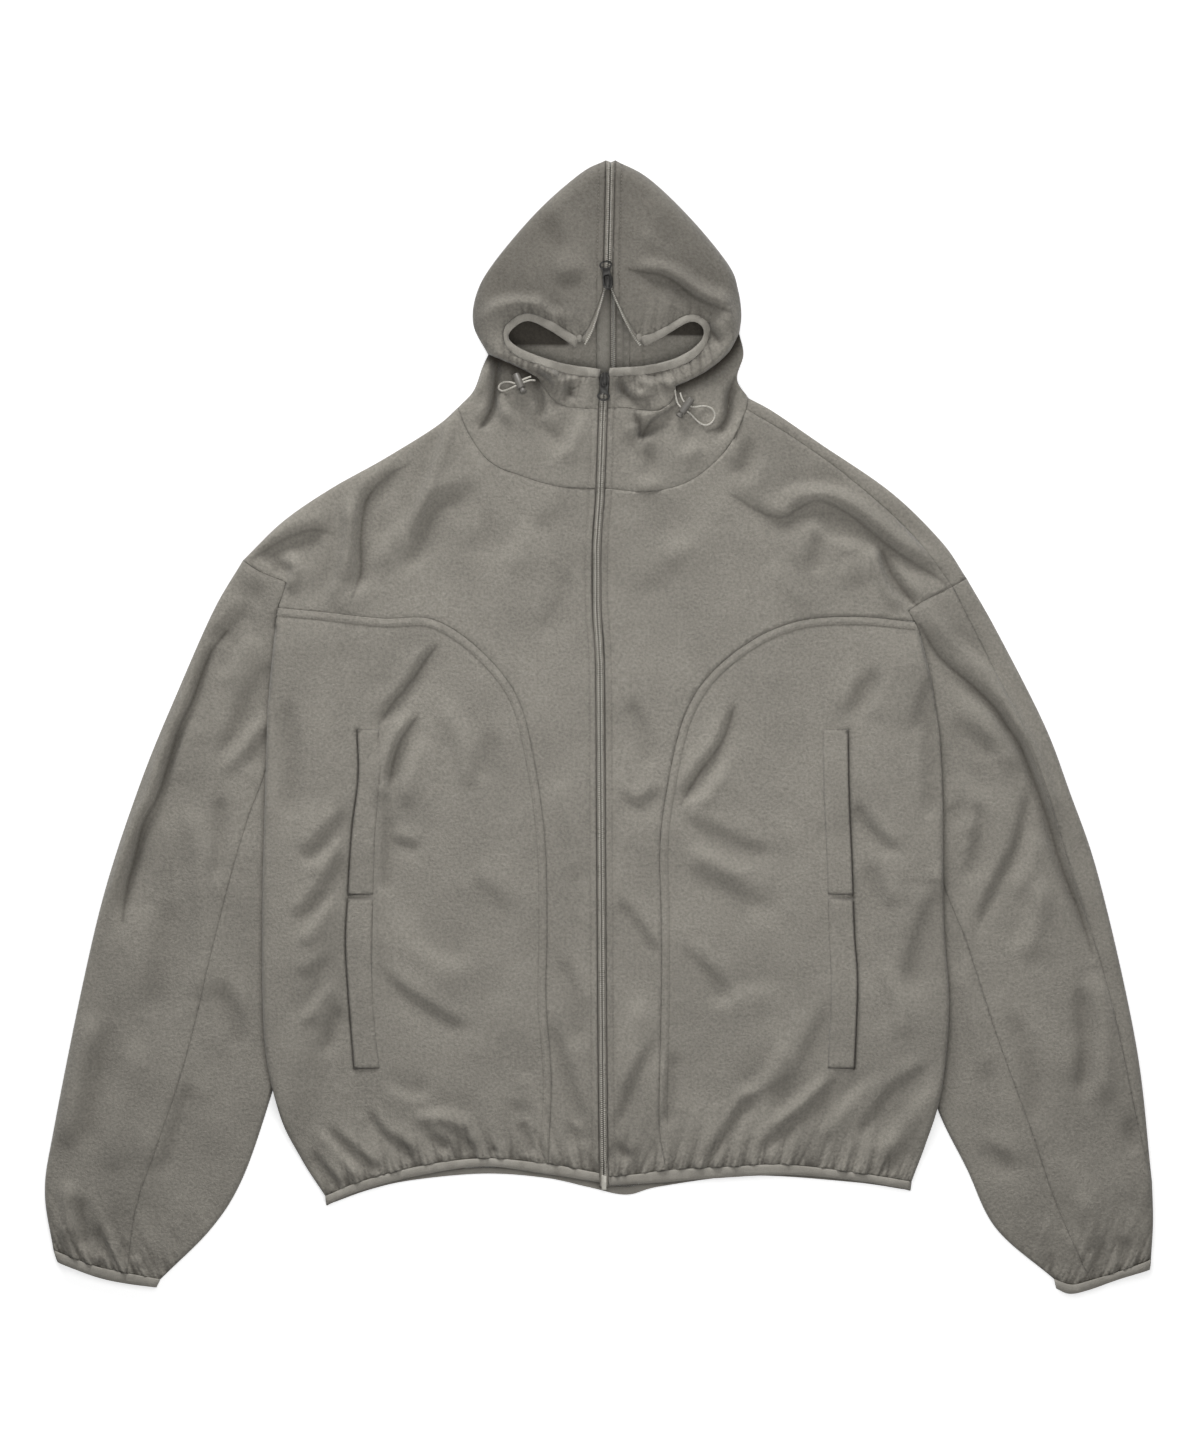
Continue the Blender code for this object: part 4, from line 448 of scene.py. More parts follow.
# The folds of the laid cloth.  A positive height is a ridge and a negative one a
# trough; the width is the half width of its slope, all in millimetres.
FOLDS = {               # body, sleeves, neck and hood: rows of width, height and the path's points
    "b": [
        # left shoulder and yoke
        (8, -5.6, (-331, 158), (-318, 166), (-307, 173), (-290, 181), (-272, 186), (-254, 183)),
        (5, -3.6, (-310, 157), (-298, 148)),
        (5, 3.0, (-295, 164), (-289, 151), (-296, 129)),
        (7, 3.8, (-260, 113), (-245, 146), (-237, 186), (-238, 218)),
        (6, -4.6, (-235, 122), (-227, 146), (-227, 182), (-220, 217), (-200, 238), (-180, 249)),
        (6, 3.6, (-184, 180), (-169, 213), (-156, 244), (-145, 276), (-141, 295)),
        (6, -3.6, (-184, 149), (-173, 173), (-160, 209), (-142, 224), (-127, 228)),
        (9, -2.2, (-156, 213), (-107, 235)),
        (8, 1.8, (-210, 148), (-200, 176), (-186, 196)),
        (8, 1.6, (-256, 108), (-232, 131), (-211, 143)),
        # middle of the chest
        (12, 1.6, (-90, 143), (-62, 196)),
        (9, -1.4, (-73, 186), (-42, 203), (-24, 215)),
        (10, -1.2, (-124, 158), (-108, 184), (-101, 203)),
        (12, 1.3, (52, 158), (86, 181), (109, 196)),
        (10, -1.2, (38, 120), (65, 148), (95, 169)),
        (9, -1.0, (-57, 82), (-38, 120), (-32, 148)),
        # right shoulder and yoke
        (6, -4.8, (126, 219), (149, 205), (163, 199), (177, 199), (194, 210), (212, 213), (239, 199),
         (261, 181), (283, 164), (310, 147), (328, 135)),
        (6, 3.0, (150, 219), (172, 219), (192, 227), (230, 221), (265, 196), (301, 170), (328, 148)),
        (8, 2.8, (196, 194), (216, 179), (241, 175), (258, 174)),
        (5, 3.2, (256, 173), (261, 160), (270, 133), (290, 112)),
        (5, -4.2, (268, 166), (275, 148), (286, 131), (302, 113)),
        (8, -2.4, (208, 188), (206, 166), (203, 142)),
        (6, -2.0, (226, 165), (239, 158)),
        (7, -2.8, (144, 273), (136, 253), (124, 239)),
        (8, 1.8, (158, 257), (148, 236), (135, 220)),
        (9, -1.6, (223, 129), (249, 141), (276, 143)),
        (10, 1.5, (162, 158), (190, 120), (204, 108)),
        # left side panel
        (5, -4.2, (-210, 3), (-196, 22), (-178, 44), (-166, 62), (-155, 76)),
        (5, -4.2, (-173, 9), (-183, -4), (-191, -18), (-197, -38), (-200, -56)),
        (6, 2.6, (-184, 8), (-196, -12), (-204, -34), (-207, -74)),
        (8, 1.8, (-163, -9), (-179, -42), (-185, -76)),
        (5, -2.0, (-204, -106), (-185, -110), (-165, -113)),
        (6, -2.4, (-239, -79), (-256, -98), (-275, -115), (-290, -121)),
        (6, 2.2, (-245, -104), (-261, -123), (-281, -137)),
        (5, -2.8, (-245, -122), (-259, -148), (-278, -171), (-296, -182)),
        (7, 2.0, (-250, -160), (-270, -187), (-284, -210)),
        (6, -1.5, (-252, -216), (-270, -228), (-290, -240)),
        (6, 2.2, (-252, -242), (-272, -268), (-280, -284)),
        (6, -2.2, (-247, -265), (-256, -288), (-262, -312)),
        (4, 1.6, (-209, -48), (-208, -100), (-209, -160), (-208, -228)),
        (6, -1.8, (-200, -84), (-203, -120), (-204, -162)),
        (9, -1.4, (-102, -4), (-108, -28), (-116, -55)),
        (10, 1.6, (-152, 25), (-131, -13), (-124, -61)),
        (10, -1.5, (-124, -146), (-95, -165), (-66, -170)),
        (11, 1.4, (-190, -203), (-152, -222), (-114, -224)),
        (6, -2.1, (-209, -233), (-195, -246), (-178, -259), (-150, -276), (-118, -290)),
        (9, -1.8, (-299, 25), (-293, -32), (-294, -89)),
        # left hem
        (4, -2.8, (-221, -366), (-207, -385), (-186, -400), (-180, -414)),
        (5, -2.4, (-169, -385), (-153, -392), (-145, -406)),
        (5, -2.4, (-134, -389), (-117, -406)),
        (4, -2.2, (-104, -398), (-99, -408)),
        (5, -2.4, (-76, -375), (-70, -389), (-65, -408)),
        (4, -2.8, (-256, -385), (-227, -409), (-207, -422)),
        (4, -2.6, (-274, -406), (-246, -439)),
        (5, 2.0, (-268, -384), (-238, -416), (-226, -431)),
        (7, 2.2, (-180, -370), (-149, -368), (-121, -383)),
        (6, -1.8, (-180, -378), (-152, -377), (-127, -391)),
        (7, -2.0, (-91, -355), (-64, -370)),
        (7, 1.8, (-82, -331), (-66, -342)),
        (6, -2.0, (-46, -283), (-36, -320), (-22, -362), (-8, -398)),
        (5, -2.2, (-33, -379), (-10, -396)),
        (7, 1.6, (-209, -341), (-180, -352), (-152, -346)),
        # right side panel
        (5, -4.2, (127, 18), (119, -8), (108, -27), (96, -42), (77, -73)),
        (8, 2.8, (92, -80), (106, -55), (122, -32)),
        (8, -2.6, (264, 56), (253, 40), (243, 22), (230, 7)),
        (7, 1.6, (276, 48), (264, 26), (252, 6)),
        (8, -2.0, (313, 46), (306, 16), (296, -10)),
        (7, -2.1, (72, -83), (99, -94), (138, -112), (172, -121)),
        (9, -2.0, (325, -143), (302, -206), (294, -254)),
        (8, 1.8, (83, -112), (116, -129), (144, -143)),
        (9, -2.2, (72, -129), (105, -143), (138, -160), (166, -176)),
        (7, -1.8, (77, -210), (105, -238), (124, -265)),
        (6, -2.6, (16, -64), (36, -71), (60, -58)),
        (6, -1.6, (18, -166), (36, -192), (54, -220)),
        (5, -1.7, (16, -386), (30, -340), (54, -296)),
        (6, -3.0, (242, -75), (256, -98), (284, -122)),
        (9, -2.2, (252, -132), (267, -162), (295, -169)),
        (10, 2.6, (319, -127), (325, -146), (321, -170)),
        (8, -1.8, (310, 25), (314, -32), (315, -89)),
        (10, 1.5, (95, -270), (133, -251), (180, -246)),
        (9, 1.6, (266, -222), (283, -260), (285, -298)),
        # right hem
        (5, -2.8, (229, -331), (206, -354), (190, -367), (172, -382), (152, -407)),
        (5, 2.0, (216, -330), (188, -356), (160, -382)),
        (8, -1.8, (216, -268), (200, -304), (184, -330), (146, -352)),
        (4, -3.2, (158, -346), (138, -357), (121, -382), (105, -413)),
        (7, 1.6, (177, -298), (162, -330), (128, -352)),
        (6, 2.0, (268, -330), (250, -343), (227, -366), (211, -393)),
        (5, -1.9, (317, -316), (283, -338), (262, -364), (244, -390)),
        (7, 1.8, (322, -336), (290, -372), (262, -408)),
        (6, -2.2, (71, -310), (68, -340), (63, -382)),
        (5, -2.4, (15, -394), (28, -414)),
        (5, -2.2, (290, -393), (278, -412), (274, -426)),
        # beside the zip
        (9, 1.2, (-38, -51), (-27, -99), (-25, -146)),
        (8, -1.3, (-38, -222), (-24, -260), (-21, -308)),
        (8, -1.3, (28, 25), (43, -13), (46, -42)),
        (9, 1.2, (38, -260), (30, -308), (27, -346)),
    ],
    "s": [
        # left sleeve
        (9, -2.6, (-311, 140), (-328, 132), (-345, 126)),
        (5, -5.0, (-354, 90), (-369, 70), (-379, 46), (-387, 24), (-399, -2), (-409, -34), (-419, -66),
         (-433, -93), (-441, -125), (-448, -152), (-453, -186)),
        (5, 3.0, (-383, 56), (-393, 24), (-417, -29), (-428, -64), (-444, -98), (-455, -130), (-468, -183)),
        (9, 1.6, (-383, 8), (-393, -24), (-404, -56)),
        (8, -2.6, (-313, 62), (-335, 24), (-345, -2), (-359, -29)),
        (7, 2.0, (-313, 16), (-329, -2), (-348, -29), (-356, -45)),
        (7, -2.4, (-313, 0), (-329, -24), (-340, -42)),
        (8, 2.4, (-329, 86), (-345, 59), (-367, 40)),
        (7, -2.4, (-329, 118), (-348, 102), (-367, 78)),
        (7, -1.6, (-361, -64), (-361, -109), (-366, -150)),
        (12, 1.8, (-389, -74), (-380, -118), (-380, -165)),
        (12, -1.6, (-407, -165), (-418, -222), (-428, -279)),
        (11, 2.6, (-478, -269), (-499, -350), (-506, -401)),
        (9, -2.2, (-464, -279), (-481, -346), (-490, -403)),
        (11, 1.8, (-379, -146), (-376, -210), (-382, -260)),
        (9, -2.0, (-364, -243), (-348, -278), (-342, -308)),
        (11, 1.6, (-437, -298), (-454, -365), (-464, -422)),
        (9, -1.8, (-390, -336), (-403, -384), (-420, -431)),
        (6, -2.2, (-496, -446), (-492, -473), (-490, -498)),
        (6, -2.4, (-481, -475), (-475, -490), (-470, -503)),
        (6, -2.0, (-447, -490), (-452, -509)),
        (5, -2.0, (-429, -503), (-433, -518)),
        (5, -2.0, (-419, -503), (-428, -521)),
        (7, 2.0, (-504, -431), (-504, -465), (-502, -488)),
        # right sleeve
        (5, -4.6, (303, 96), (319, 70), (335, 54), (354, 38), (373, 19), (386, 0), (397, -16), (405, -34),
         (413, -55), (421, -77), (429, -103), (437, -130), (447, -157), (458, -186), (466, -215)),
        (6, 3.0, (311, 110), (335, 80), (362, 56), (381, 30), (399, 0), (413, -29), (426, -63), (437, -98)),
        (9, 2.0, (330, 35), (354, 19), (378, -13), (391, -45)),
        (8, -2.0, (330, 8), (359, -13), (373, -34)),
        (10, 1.8, (335, -45), (354, -71), (351, -109)),
        (6, -2.4, (407, -63), (397, -109), (381, -141), (365, -175), (359, -199)),
        (9, 1.6, (415, -98), (407, -130), (391, -162)),
        (7, -1.6, (358, -71), (361, -98), (349, -149)),
        (10, 2.0, (418, -146), (414, -184), (399, -222)),
        (11, 2.6, (467, -233), (478, -282), (475, -360)),
        (9, -2.2, (454, -246), (462, -298), (456, -355)),
        (8, -1.8, (502, -370), (506, -407)),
        (8, -2.2, (358, -396), (379, -409), (393, -428)),
        (10, 1.8, (342, -222), (356, -279), (366, -336)),
        (10, -1.6, (390, -270), (408, -327), (414, -384)),
        (6, -2.2, (418, -487), (429, -500), (442, -511)),
        (6, -2.2, (433, -485), (446, -504), (457, -519)),
        (6, -2.0, (475, -493), (478, -514)),
        (6, -2.0, (496, -483), (496, -511)),
        (8, 1.8, (456, -441), (464, -469), (467, -498)),
    ],
    "n": [
        # collar
        (4, -5.4, (-99, 349), (-99, 330), (-101, 309), (-105, 297), (-114, 282)),
        (6, 2.4, (-106, 346), (-113, 326), (-119, 313)),
        (5, 2.2, (-95, 318), (-92, 305), (-84, 287)),
        (6, -1.8, (-62, 292), (-58, 283), (-65, 275)),
        (4, -3.0, (-63, 326), (-56, 308), (-58, 290)),
        (5, 2.0, (-54, 304), (-46, 300), (-36, 296)),
        (7, 2.2, (-14, 296), (-25, 272), (-38, 250)),
        (7, -1.4, (-56, 288), (-42, 281), (-30, 284)),
        (4, -5.2, (73, 305), (62, 297), (51, 291), (43, 281), (40, 270)),
        (4, -3.6, (33, 295), (38, 286), (37, 272)),
        (7, -1.3, (45, 270), (48, 255), (50, 238)),
        (6, 2.0, (30, 236), (62, 231)),
        (8, 1.8, (89, 276), (85, 246)),
        (5, 3.0, (46, 297), (58, 301), (70, 308)),
        (4, -4.4, (128, 330), (123, 316), (121, 297), (114, 284), (101, 279)),
        (7, 1.6, (134, 300), (128, 284), (116, 268)),
        (7, -1.4, (24, 278), (34, 262), (52, 254)),
        (8, 1.4, (62, 275), (76, 262), (95, 255)),
    ],
    "h": [
        # chin, between the face opening and the channel's seam
        (4, -3.2, (-64, 338), (-53, 330), (-45, 322), (-37, 320)),
        (4, 2.6, (-53, 338), (-41, 330), (-29, 330), (-20, 326)),
        (4, -3.6, (52, 328), (64, 320), (75, 318)),
        (5, -2.0, (23, 322), (33, 314)),
        (4, 3.0, (27, 331), (46, 330), (62, 326), (71, 324)),
        # hood, over the face opening
        (6, 3.2, (-114, 384), (-104, 394), (-95, 402), (-80, 404), (-64, 402), (-51, 394), (-24, 385)),
        (7, -2.6, (-98, 388), (-81, 394), (-64, 391), (-46, 382)),
        (8, -2.4, (-51, 422), (-30, 425), (-6, 427)),
        (5, -3.8, (28, 431), (44, 428), (60, 425), (74, 417), (87, 407), (105, 398), (124, 391)),
        (6, 2.4, (30, 440), (62, 434), (92, 416), (126, 400)),
        (5, -3.6, (99, 381), (107, 372), (115, 361)),
        (7, 1.8, (110, 412), (120, 395), (122, 374)),
        (8, 1.2, (38, 471), (59, 450), (76, 440)),
        (9, -1.2, (-52, 485), (-42, 462), (-38, 441)),
        (12, -2.4, (-126, 430), (-124, 405), (-118, 380), (-110, 360)),
        (14, -3.0, (-116, 404), (-88, 456), (-46, 506)),
        (8, 1.4, (86, 362), (94, 355), (104, 352)),
        (4, -5.0, (-68, 336), (-60, 335), (-47, 330), (-37, 332)),
        (5, 2.4, (-52, 338), (-38, 334), (-20, 329)),
        (4, -4.4, (-27, 329), (-30, 318), (-24, 312)),
        (4, -5.0, (18, 329), (24, 316), (35, 310), (50, 312)),
        (4, -3.4, (35, 322), (42, 318)),
        (6, 2.6, (32, 328), (48, 326), (64, 322)),
        (4, -2.6, (18, 334), (28, 330), (38, 331)),
    ],
}


def nearest(xy, line, direction=False):
    """Distance from each point to a line of points, and the nearest point on it.

    With direction, also the line's unit direction there.
    """
    tree = kdtree.KDTree(len(line))
    for index, (x, y) in enumerate(line):
        tree.insert((x, y, 0), index)
    tree.balance()
    index = np.array([tree.find((x, y, 0))[1] for x, y in xy], int)
    best = np.full(len(xy), 1e9)
    foot = np.zeros_like(xy)
    along = np.zeros_like(xy)
    for shift in (-1, 0):
        first = np.clip(index + shift, 0, len(line) - 2)
        start = line[first]
        run = line[first + 1] - start
        t = np.clip(np.sum((xy - start) * run, 1) / np.maximum(np.sum(run * run, 1), 1e-9), 0, 1)
        near = start + t[:, None] * run
        gap = np.hypot(*(xy - near).T)
        closer = gap < best
        best[closer] = gap[closer]
        foot[closer] = near[closer]
        along[closer] = run[closer]
    if direction:
        return best, foot, along / np.maximum(np.hypot(*along.T), 1e-9)[:, None]
    return best, foot


def smoothstep(t):
    t = np.clip(t, 0, 1)
    return t * t * (3 - 2 * t)


def rough(xy, size, seed):
    """Smooth noise from about -1 to 1, with features of the given size."""
    return np.array([noise.noise((x / size, y / size, seed)) for x, y in xy]) * 1.6


def bell(gap, width):
    """1 where the gap is 0, dying away smoothly beyond the width."""
    return np.exp(-(gap / width) ** 2)


LEAN = np.array([-0.15, 0.99])       # folds fall over this way, towards the hood
LEAN_SHARE = 0.6
FOLD_RISE = 3.2
FOLD_POWER = 0.75                    # deep folds are not as much deeper as they are drawn
FOLD_STEP = 6.0
TAPER_WIDTHS = 2.6                   # a fold dies away over this many widths, or this
TAPER_SHARE = 0.26                   # share of its length if that is more
END_SHARE = 0.24                     # how much of a fold is left at its end


def folds(xy, part):
    """Folds that lie across the lean have one steep side; the others are even ridges."""
    total = np.zeros(len(xy))
    for width, height, *path in FOLDS[part]:
        line = smooth_curve(path, FOLD_STEP)
        close = np.all((xy > line.min(0) - 6 * width) & (xy < line.max(0) + 6 * width), 1)
        if close.any():
            here = xy[close]
            gap, foot, along = nearest(here, line, True)
            ends = np.minimum(np.hypot(*(foot - line[0]).T), np.hypot(*(foot - line[-1]).T))
            length = np.hypot(*np.diff(line, axis=0).T).sum()
            taper = ends / max(TAPER_WIDTHS * width, TAPER_SHARE * length)
            across = (along @ [-LEAN[1], LEAN[0]]) ** 2
            past = (here - foot) @ LEAN
            even = smoothstep(END_SHARE + taper) * ((1 - across) * bell(gap, width))
            steep = LEAN_SHARE * np.tanh(1.2 * past / width) * bell(gap, 2.4 * width)
            rise = FOLD_RISE * math.copysign(abs(height) ** FOLD_POWER, height)
            total[close] += rise * (even - smoothstep(taper) * steep)
    return total


def drape(xy, seed, amount=1.0):
    """The soft unevenness of cloth that lies loose."""
    return amount * (1.1 * rough(xy, 62, seed) + 0.5 * rough(xy, 27, seed + 5)
                     + 0.16 * rough(xy, 11, seed + 9))


def gathered(xy, line, depth, reach, seed, slant=0.0):
    """Cloth drawn in by an elastic edge: ridges with sharp pinches, fading away from it.

    Returns the height and how tightly each point is pinched.
    """
    gap, _ = nearest(xy, line)
    s = xy[:, 0] + slant * np.minimum(gap, 60)
    lanes = np.column_stack([s, gap / 9])
    fine = rough(lanes, 6.5, seed)
    wide = rough(lanes, 17.0, seed + 3)
    near = np.exp(-gap / reach)
    far = np.exp(-gap / (2.6 * reach))
    ridges = (np.sqrt(fine * fine + 0.006) - 0.3) * near + 1.6 * (np.sqrt(wide * wide + 0.006) - 0.3) * far
    pinch = np.maximum(bell(fine, 0.13) * near, bell(wide, 0.08) * far)
    close = gap < 5 * reach
    return np.where(close, depth * ridges, 0.0), np.where(close, pinch, 0.0)


def joined(*names, end=""):
    return np.vstack([SEAM_LINES[name + end] for name in names])


def on_hands(*names):
    """The same run of curves on the left and on the right."""
    return [joined(*names, end=end) for _, end in HANDS]


SILHOUETTE = [joined("crown", "hood_r", "neckside_r", "shoulder_r", "outer_r", "outer_low_r",
                     "cap_out_r"),
              joined("hood_l", "neckside_l", "shoulder_l", "outer_l", "cap_out_l")]
SIDES = on_hands("lip_side", "side", "cap_hem")
LOW_SIDES = on_hands("side", "cap_hem")
INNERS = on_hands("inner_top", "inner", "cap_in")
ROLLS = on_hands("roll")
FACE = on_hands("face")
FRONT_HEMS = on_hands("hem_out", "hem_in")
CUFFS = on_hands("cuff_far", "cuff_near")
# Gathered edges: line, depth, reach, seed and slant.
HEM_EDGES = [(FRONT_HEMS[0], 4.0, 12, 21.0, 0.3), (FRONT_HEMS[1], 4.0, 12, 25.0, -0.3)]
CUFF_EDGES = [(CUFFS[0], 4.6, 14, 31.0, 0.5), (CUFFS[1], 4.6, 14, 35.0, -0.5)]
FACE_EDGES = [(FACE[0], 2.6, 10, 45.0, 0.2), (FACE[1], 2.6, 10, 49.0, -0.2)]


def trough_shadow_lines(part, depth, strength, width=1.9):
    """Painted shade: dark lines along the troughs that are deeper than the depth."""
    return [(smooth_curve(path, 4.0), strength, width)
            for _, height, *path in FOLDS[part] if height < -depth]


SLEEVE_TROUGH_SHADOWS = trough_shadow_lines("s", 4, 0.5)
FRONT_TROUGH_SHADOWS = trough_shadow_lines("b", 3.9, 0.4)
NECK_TROUGH_SHADOWS = trough_shadow_lines("n", 3.5, 0.5, 1.7)
HOOD_TROUGH_SHADOWS = trough_shadow_lines("h", 3.5, 0.4)
TUCK_TOP = {-1: 130.0, 1: 112.0}     # the side covers the sleeve from here down
ARMPIT_Y = {-1: 60.0, 1: 36.0}
TUCK_SHELF = 10.0                    # the cover reaches this far past the sleeve's inner edge
TUCK_RAMP = 40.0


def base_height(xy):
    """Top of the cloth over the table before folds: chest, collar and shoulders."""
    x, y = xy.T
    reach = np.hypot(x - 3, np.minimum(y, 330) - 330)
    collar = 1 - smoothstep((reach - 60) / 150)
    height = CHEST_LIFT + (NECK_LIFT - CHEST_LIFT) * collar
    for centre_x, centre_y in ((-315, 140), (320, 122)):
        height = height + 5.0 * np.exp(-((x - centre_x) / 75) ** 2 - ((y - centre_y) / 62) ** 2)
    ridge = np.interp(y, [p[1] for p in FRONT_ZIP], [p[0] for p in FRONT_ZIP])
    return height + 1.4 * bell(x - ridge, 22)


def tucked(xy, start, blend):
    """0 in the middle of the body, 1 over a tucked sleeve, fading up the armhole."""
    x, y = xy.T
    total = np.zeros(len(xy))
    for side, inner in ((-1, INNERS[0]), (1, INNERS[1])):
        order = np.argsort(inner[:, 1])
        inner_x = np.interp(y, inner[order, 1], inner[order, 0])
        fade = 1 - smoothstep((side * (inner_x - x) - TUCK_SHELF) / TUCK_RAMP)
        total += smoothstep((start[side] - y) / blend) * fade
    return total


def sleeve_dome(xy):
    """Top of a sleeve: high near the armhole, domed along its middle, low when tucked."""
    x, y = xy.T
    inner, _ = nearest(xy, INNERS[0] if x.mean() < 0 else INNERS[1])
    dome = TUCK_LIFT + (SLEEVE_LIFT - TUCK_LIFT) * smoothstep((inner - 42) / 50)
    dome = dome * (1 - 0.3 * smoothstep((-430 - y) / 70))
    away = smoothstep((125 - y) / 70)
    return base_height(xy) * (1 - away) + dome * away


def at_least(height, floor, soft=1.4):
    """Keeps cloth above what it lies on, without a hard edge."""
    over = height - floor
    return floor + 0.5 * (over + np.sqrt(over * over + soft * soft))


class Layer:
    """A surface with rolled edges, where the top and bottom panels meet at half height."""

    def __init__(self, height, edges, lower=False):
        self.height = height
        self.edges = edges      # (polylines, radius of the roll, height of the edge)
        self.lower = lower

    def edge(self, xy):
        gap = np.full(len(xy), 1e9)
        radius = np.ones(len(xy))
        middle = np.zeros(len(xy))
        for polylines, roll, level in self.edges:
            levels = level(xy)
            for polyline in polylines:
                here, _ = nearest(xy, polyline)
                closer = here / roll < gap / radius
                gap[closer] = here[closer]
                radius[closer] = roll
                middle[closer] = levels[closer]
        return gap, radius, middle

    def surface(self, xy):
        level = self.height(xy)
        gap, radius, middle = self.edge(xy)
        part = np.clip(gap / radius, 0, 1)
        rise = np.sqrt(np.clip(1 - (1 - part) ** 2, 0, 1))
        share = 0.1 if not self.lower else -0.1
        return middle + share + (level - middle - share) * rise


def body_height(xy):
    side = tucked(xy, TUCK_TOP, 60.0)
    lift = base_height(xy) + SIDE_LIFT * side + folds(xy, "b") + drape(xy, 3.0, 0.75)
    lift = lift + sum(gathered(xy, *edge)[0] for edge in HEM_EDGES)
    return at_least(lift, (TUCK_LIFT + 1.6) * side + 4.4)


def back_lift(xy):
    return (TUCK_LIFT + 1.2) * tucked(xy, ARMPIT_Y, 38.0)


def side_middle(xy):
    """Where front and back meet at the side: just over the sleeve, then clear of it."""
    y = xy[:, 1]
    over_sleeve = sleeve_dome(xy) + 0.8
    free = back_lift(xy) + 3.6
    clear = smoothstep((-280 - y) / 60)
    held = np.where(y > 25, over_sleeve, np.maximum(over_sleeve, free))
    return held * (1 - clear) + free * clear


def sleeve_height(xy):
    lift = sleeve_dome(xy) + folds(xy, "s") + drape(xy, 7.0, 0.75)
    lift = lift + sum(gathered(xy, *edge)[0] for edge in CUFF_EDGES)
    return at_least(lift, 4.4)


COLLAR_FOLDS = 1.2                   # the collar's folds stand out more than the others


def neck_height(xy):
    """The collar lies smooth where the drawcords rest on it."""
    cord = np.min([nearest(xy, np.array(route)[:, :2])[0] for route in CORD_ROUTES.values()], 0)
    loose = 1 - bell(cord, 12)
    lift = COLLAR_FOLDS * folds(xy, "n") + drape(xy, 11.0, 0.5)
    return base_height(xy) + np.where(lift > 0, loose * lift, lift)


def crown_rise(xy):
    x, y = xy.T
    return smoothstep((y + 0.25 * np.abs(x - 8) - 325) / 90)


def hood_height(xy):
    rise = (CROWN_LIFT - NECK_LIFT) * crown_rise(xy)
    roll = np.minimum(nearest(xy, ROLLS[0])[0], nearest(xy, ROLLS[1])[0])
    face = np.minimum(nearest(xy, FACE[0])[0], nearest(xy, FACE[1])[0])
    dip = 4.0 * bell(face, 11) * crown_rise(xy)
    lift = base_height(xy) + rise + 4.5 * bell(roll, 14) - dip
    lift = lift + sum(gathered(xy, *edge)[0] for edge in FACE_EDGES)
    return lift + folds(xy, "h") + drape(xy, 15.0, 0.6)


def hood_middle(xy):
    return 0.42 * (base_height(xy) + (CROWN_LIFT - NECK_LIFT) * crown_rise(xy))


def outer_middle(xy):
    return np.minimum(0.5 * base_height(xy), 5.5)


def roll_middle(xy):
    return base_height(xy) + 0.3


def sleeve_middle(xy):
    return np.full(len(xy), 3.6)


def on_table(xy):
    return np.zeros(len(xy))


FRONT = Layer(body_height, [(SILHOUETTE, 7.0, outer_middle), (SIDES, 6.0, side_middle)])
BACK = Layer(back_lift, [(SILHOUETTE, 7.0, outer_middle), (LOW_SIDES, 6.0, side_middle)], True)
SLEEVE = Layer(sleeve_height, [(SILHOUETTE, 7.0, outer_middle), (INNERS, 4.0, sleeve_middle)])
SLEEVE_UNDER = Layer(on_table, [(SILHOUETTE, 7.0, outer_middle), (INNERS, 4.0, sleeve_middle)], True)
NECK = Layer(neck_height, [(SILHOUETTE, 8.0, hood_middle)])
HOOD = Layer(hood_height, [(SILHOUETTE, 14.0, hood_middle), (ROLLS, 5.0, roll_middle)])
HOOD_BACK = Layer(on_table, [(SILHOUETTE, 8.0, hood_middle)], True)


def inside(xy, loop):
    """Whether each point is inside a closed loop."""
    x, y = xy.T
    crossings = np.zeros(len(xy), int)
    for (ax, ay), (bx, by) in zip(loop, np.roll(loop, -1, 0)):
        span = (ay > y) != (by > y)
        slope = (bx - ax) / (by - ay) if by != ay else 0.0
        crossings += span & (x < ax + (y - ay) * slope)
    return crossings % 2 == 1


def signed_area(loop):
    after = np.roll(loop, -1, 0)
    return 0.5 * float(np.sum(loop[:, 0] * after[:, 1] - after[:, 0] * loop[:, 1]))


def inward_of(loop):
    """Unit direction into a counterclockwise loop at each of its points."""
    run = np.roll(loop, -1, 0) - np.roll(loop, 1, 0)
    return np.column_stack([-run[:, 1], run[:, 0]]) / np.maximum(np.hypot(*run.T), 1e-9)[:, None]


def beside_line(line, offset):
    """The line moved sideways, to its left for a positive offset."""
    run = np.gradient(line, axis=0)
    left = np.column_stack([-run[:, 1], run[:, 0]]) / np.maximum(np.hypot(*run.T), 1e-9)[:, None]
    return line + left * offset


def parts_of(names, end=""):
    """Outline parts from the names of curves, with the ending of a hand added to each.

    A minus is for a curve that runs backwards, and a star for an edge that is not sewn.
    """
    return [(name.strip("*") + end, not name.startswith("*")) for name in names.split()]


def outline(parts):
    """A closed counterclockwise loop from named curves, and which of its points are sewn."""
    points = []
    sewn = []
    for name, stitched in parts:
        line = SEAM_LINES[name.strip("-")]
        if name.startswith("-"):
            line = line[::-1]
        points.extend(line[:-1])
        sewn.extend([stitched] * (len(line) - 1))
    loop = np.array(points)
    sewn = np.array(sewn, bool)
    if signed_area(loop) < 0:
        loop = loop[::-1]
        sewn = np.roll(sewn[::-1], -1)
    both = sewn | np.roll(sewn, 1)
    return loop + inward_of(loop) * (SEAM / 2 * both)[:, None], sewn


def sewn_runs(loop, sewn):
    """The stretches of a loop that are sewn, as lines of points."""
    runs = []
    for start in np.flatnonzero(sewn & ~np.roll(sewn, 1)):
        stop = start
        while sewn[stop % len(loop)] and stop - start < len(loop):
            stop += 1
        runs.append(loop[np.arange(start, stop + 1) % len(loop)])
    return runs


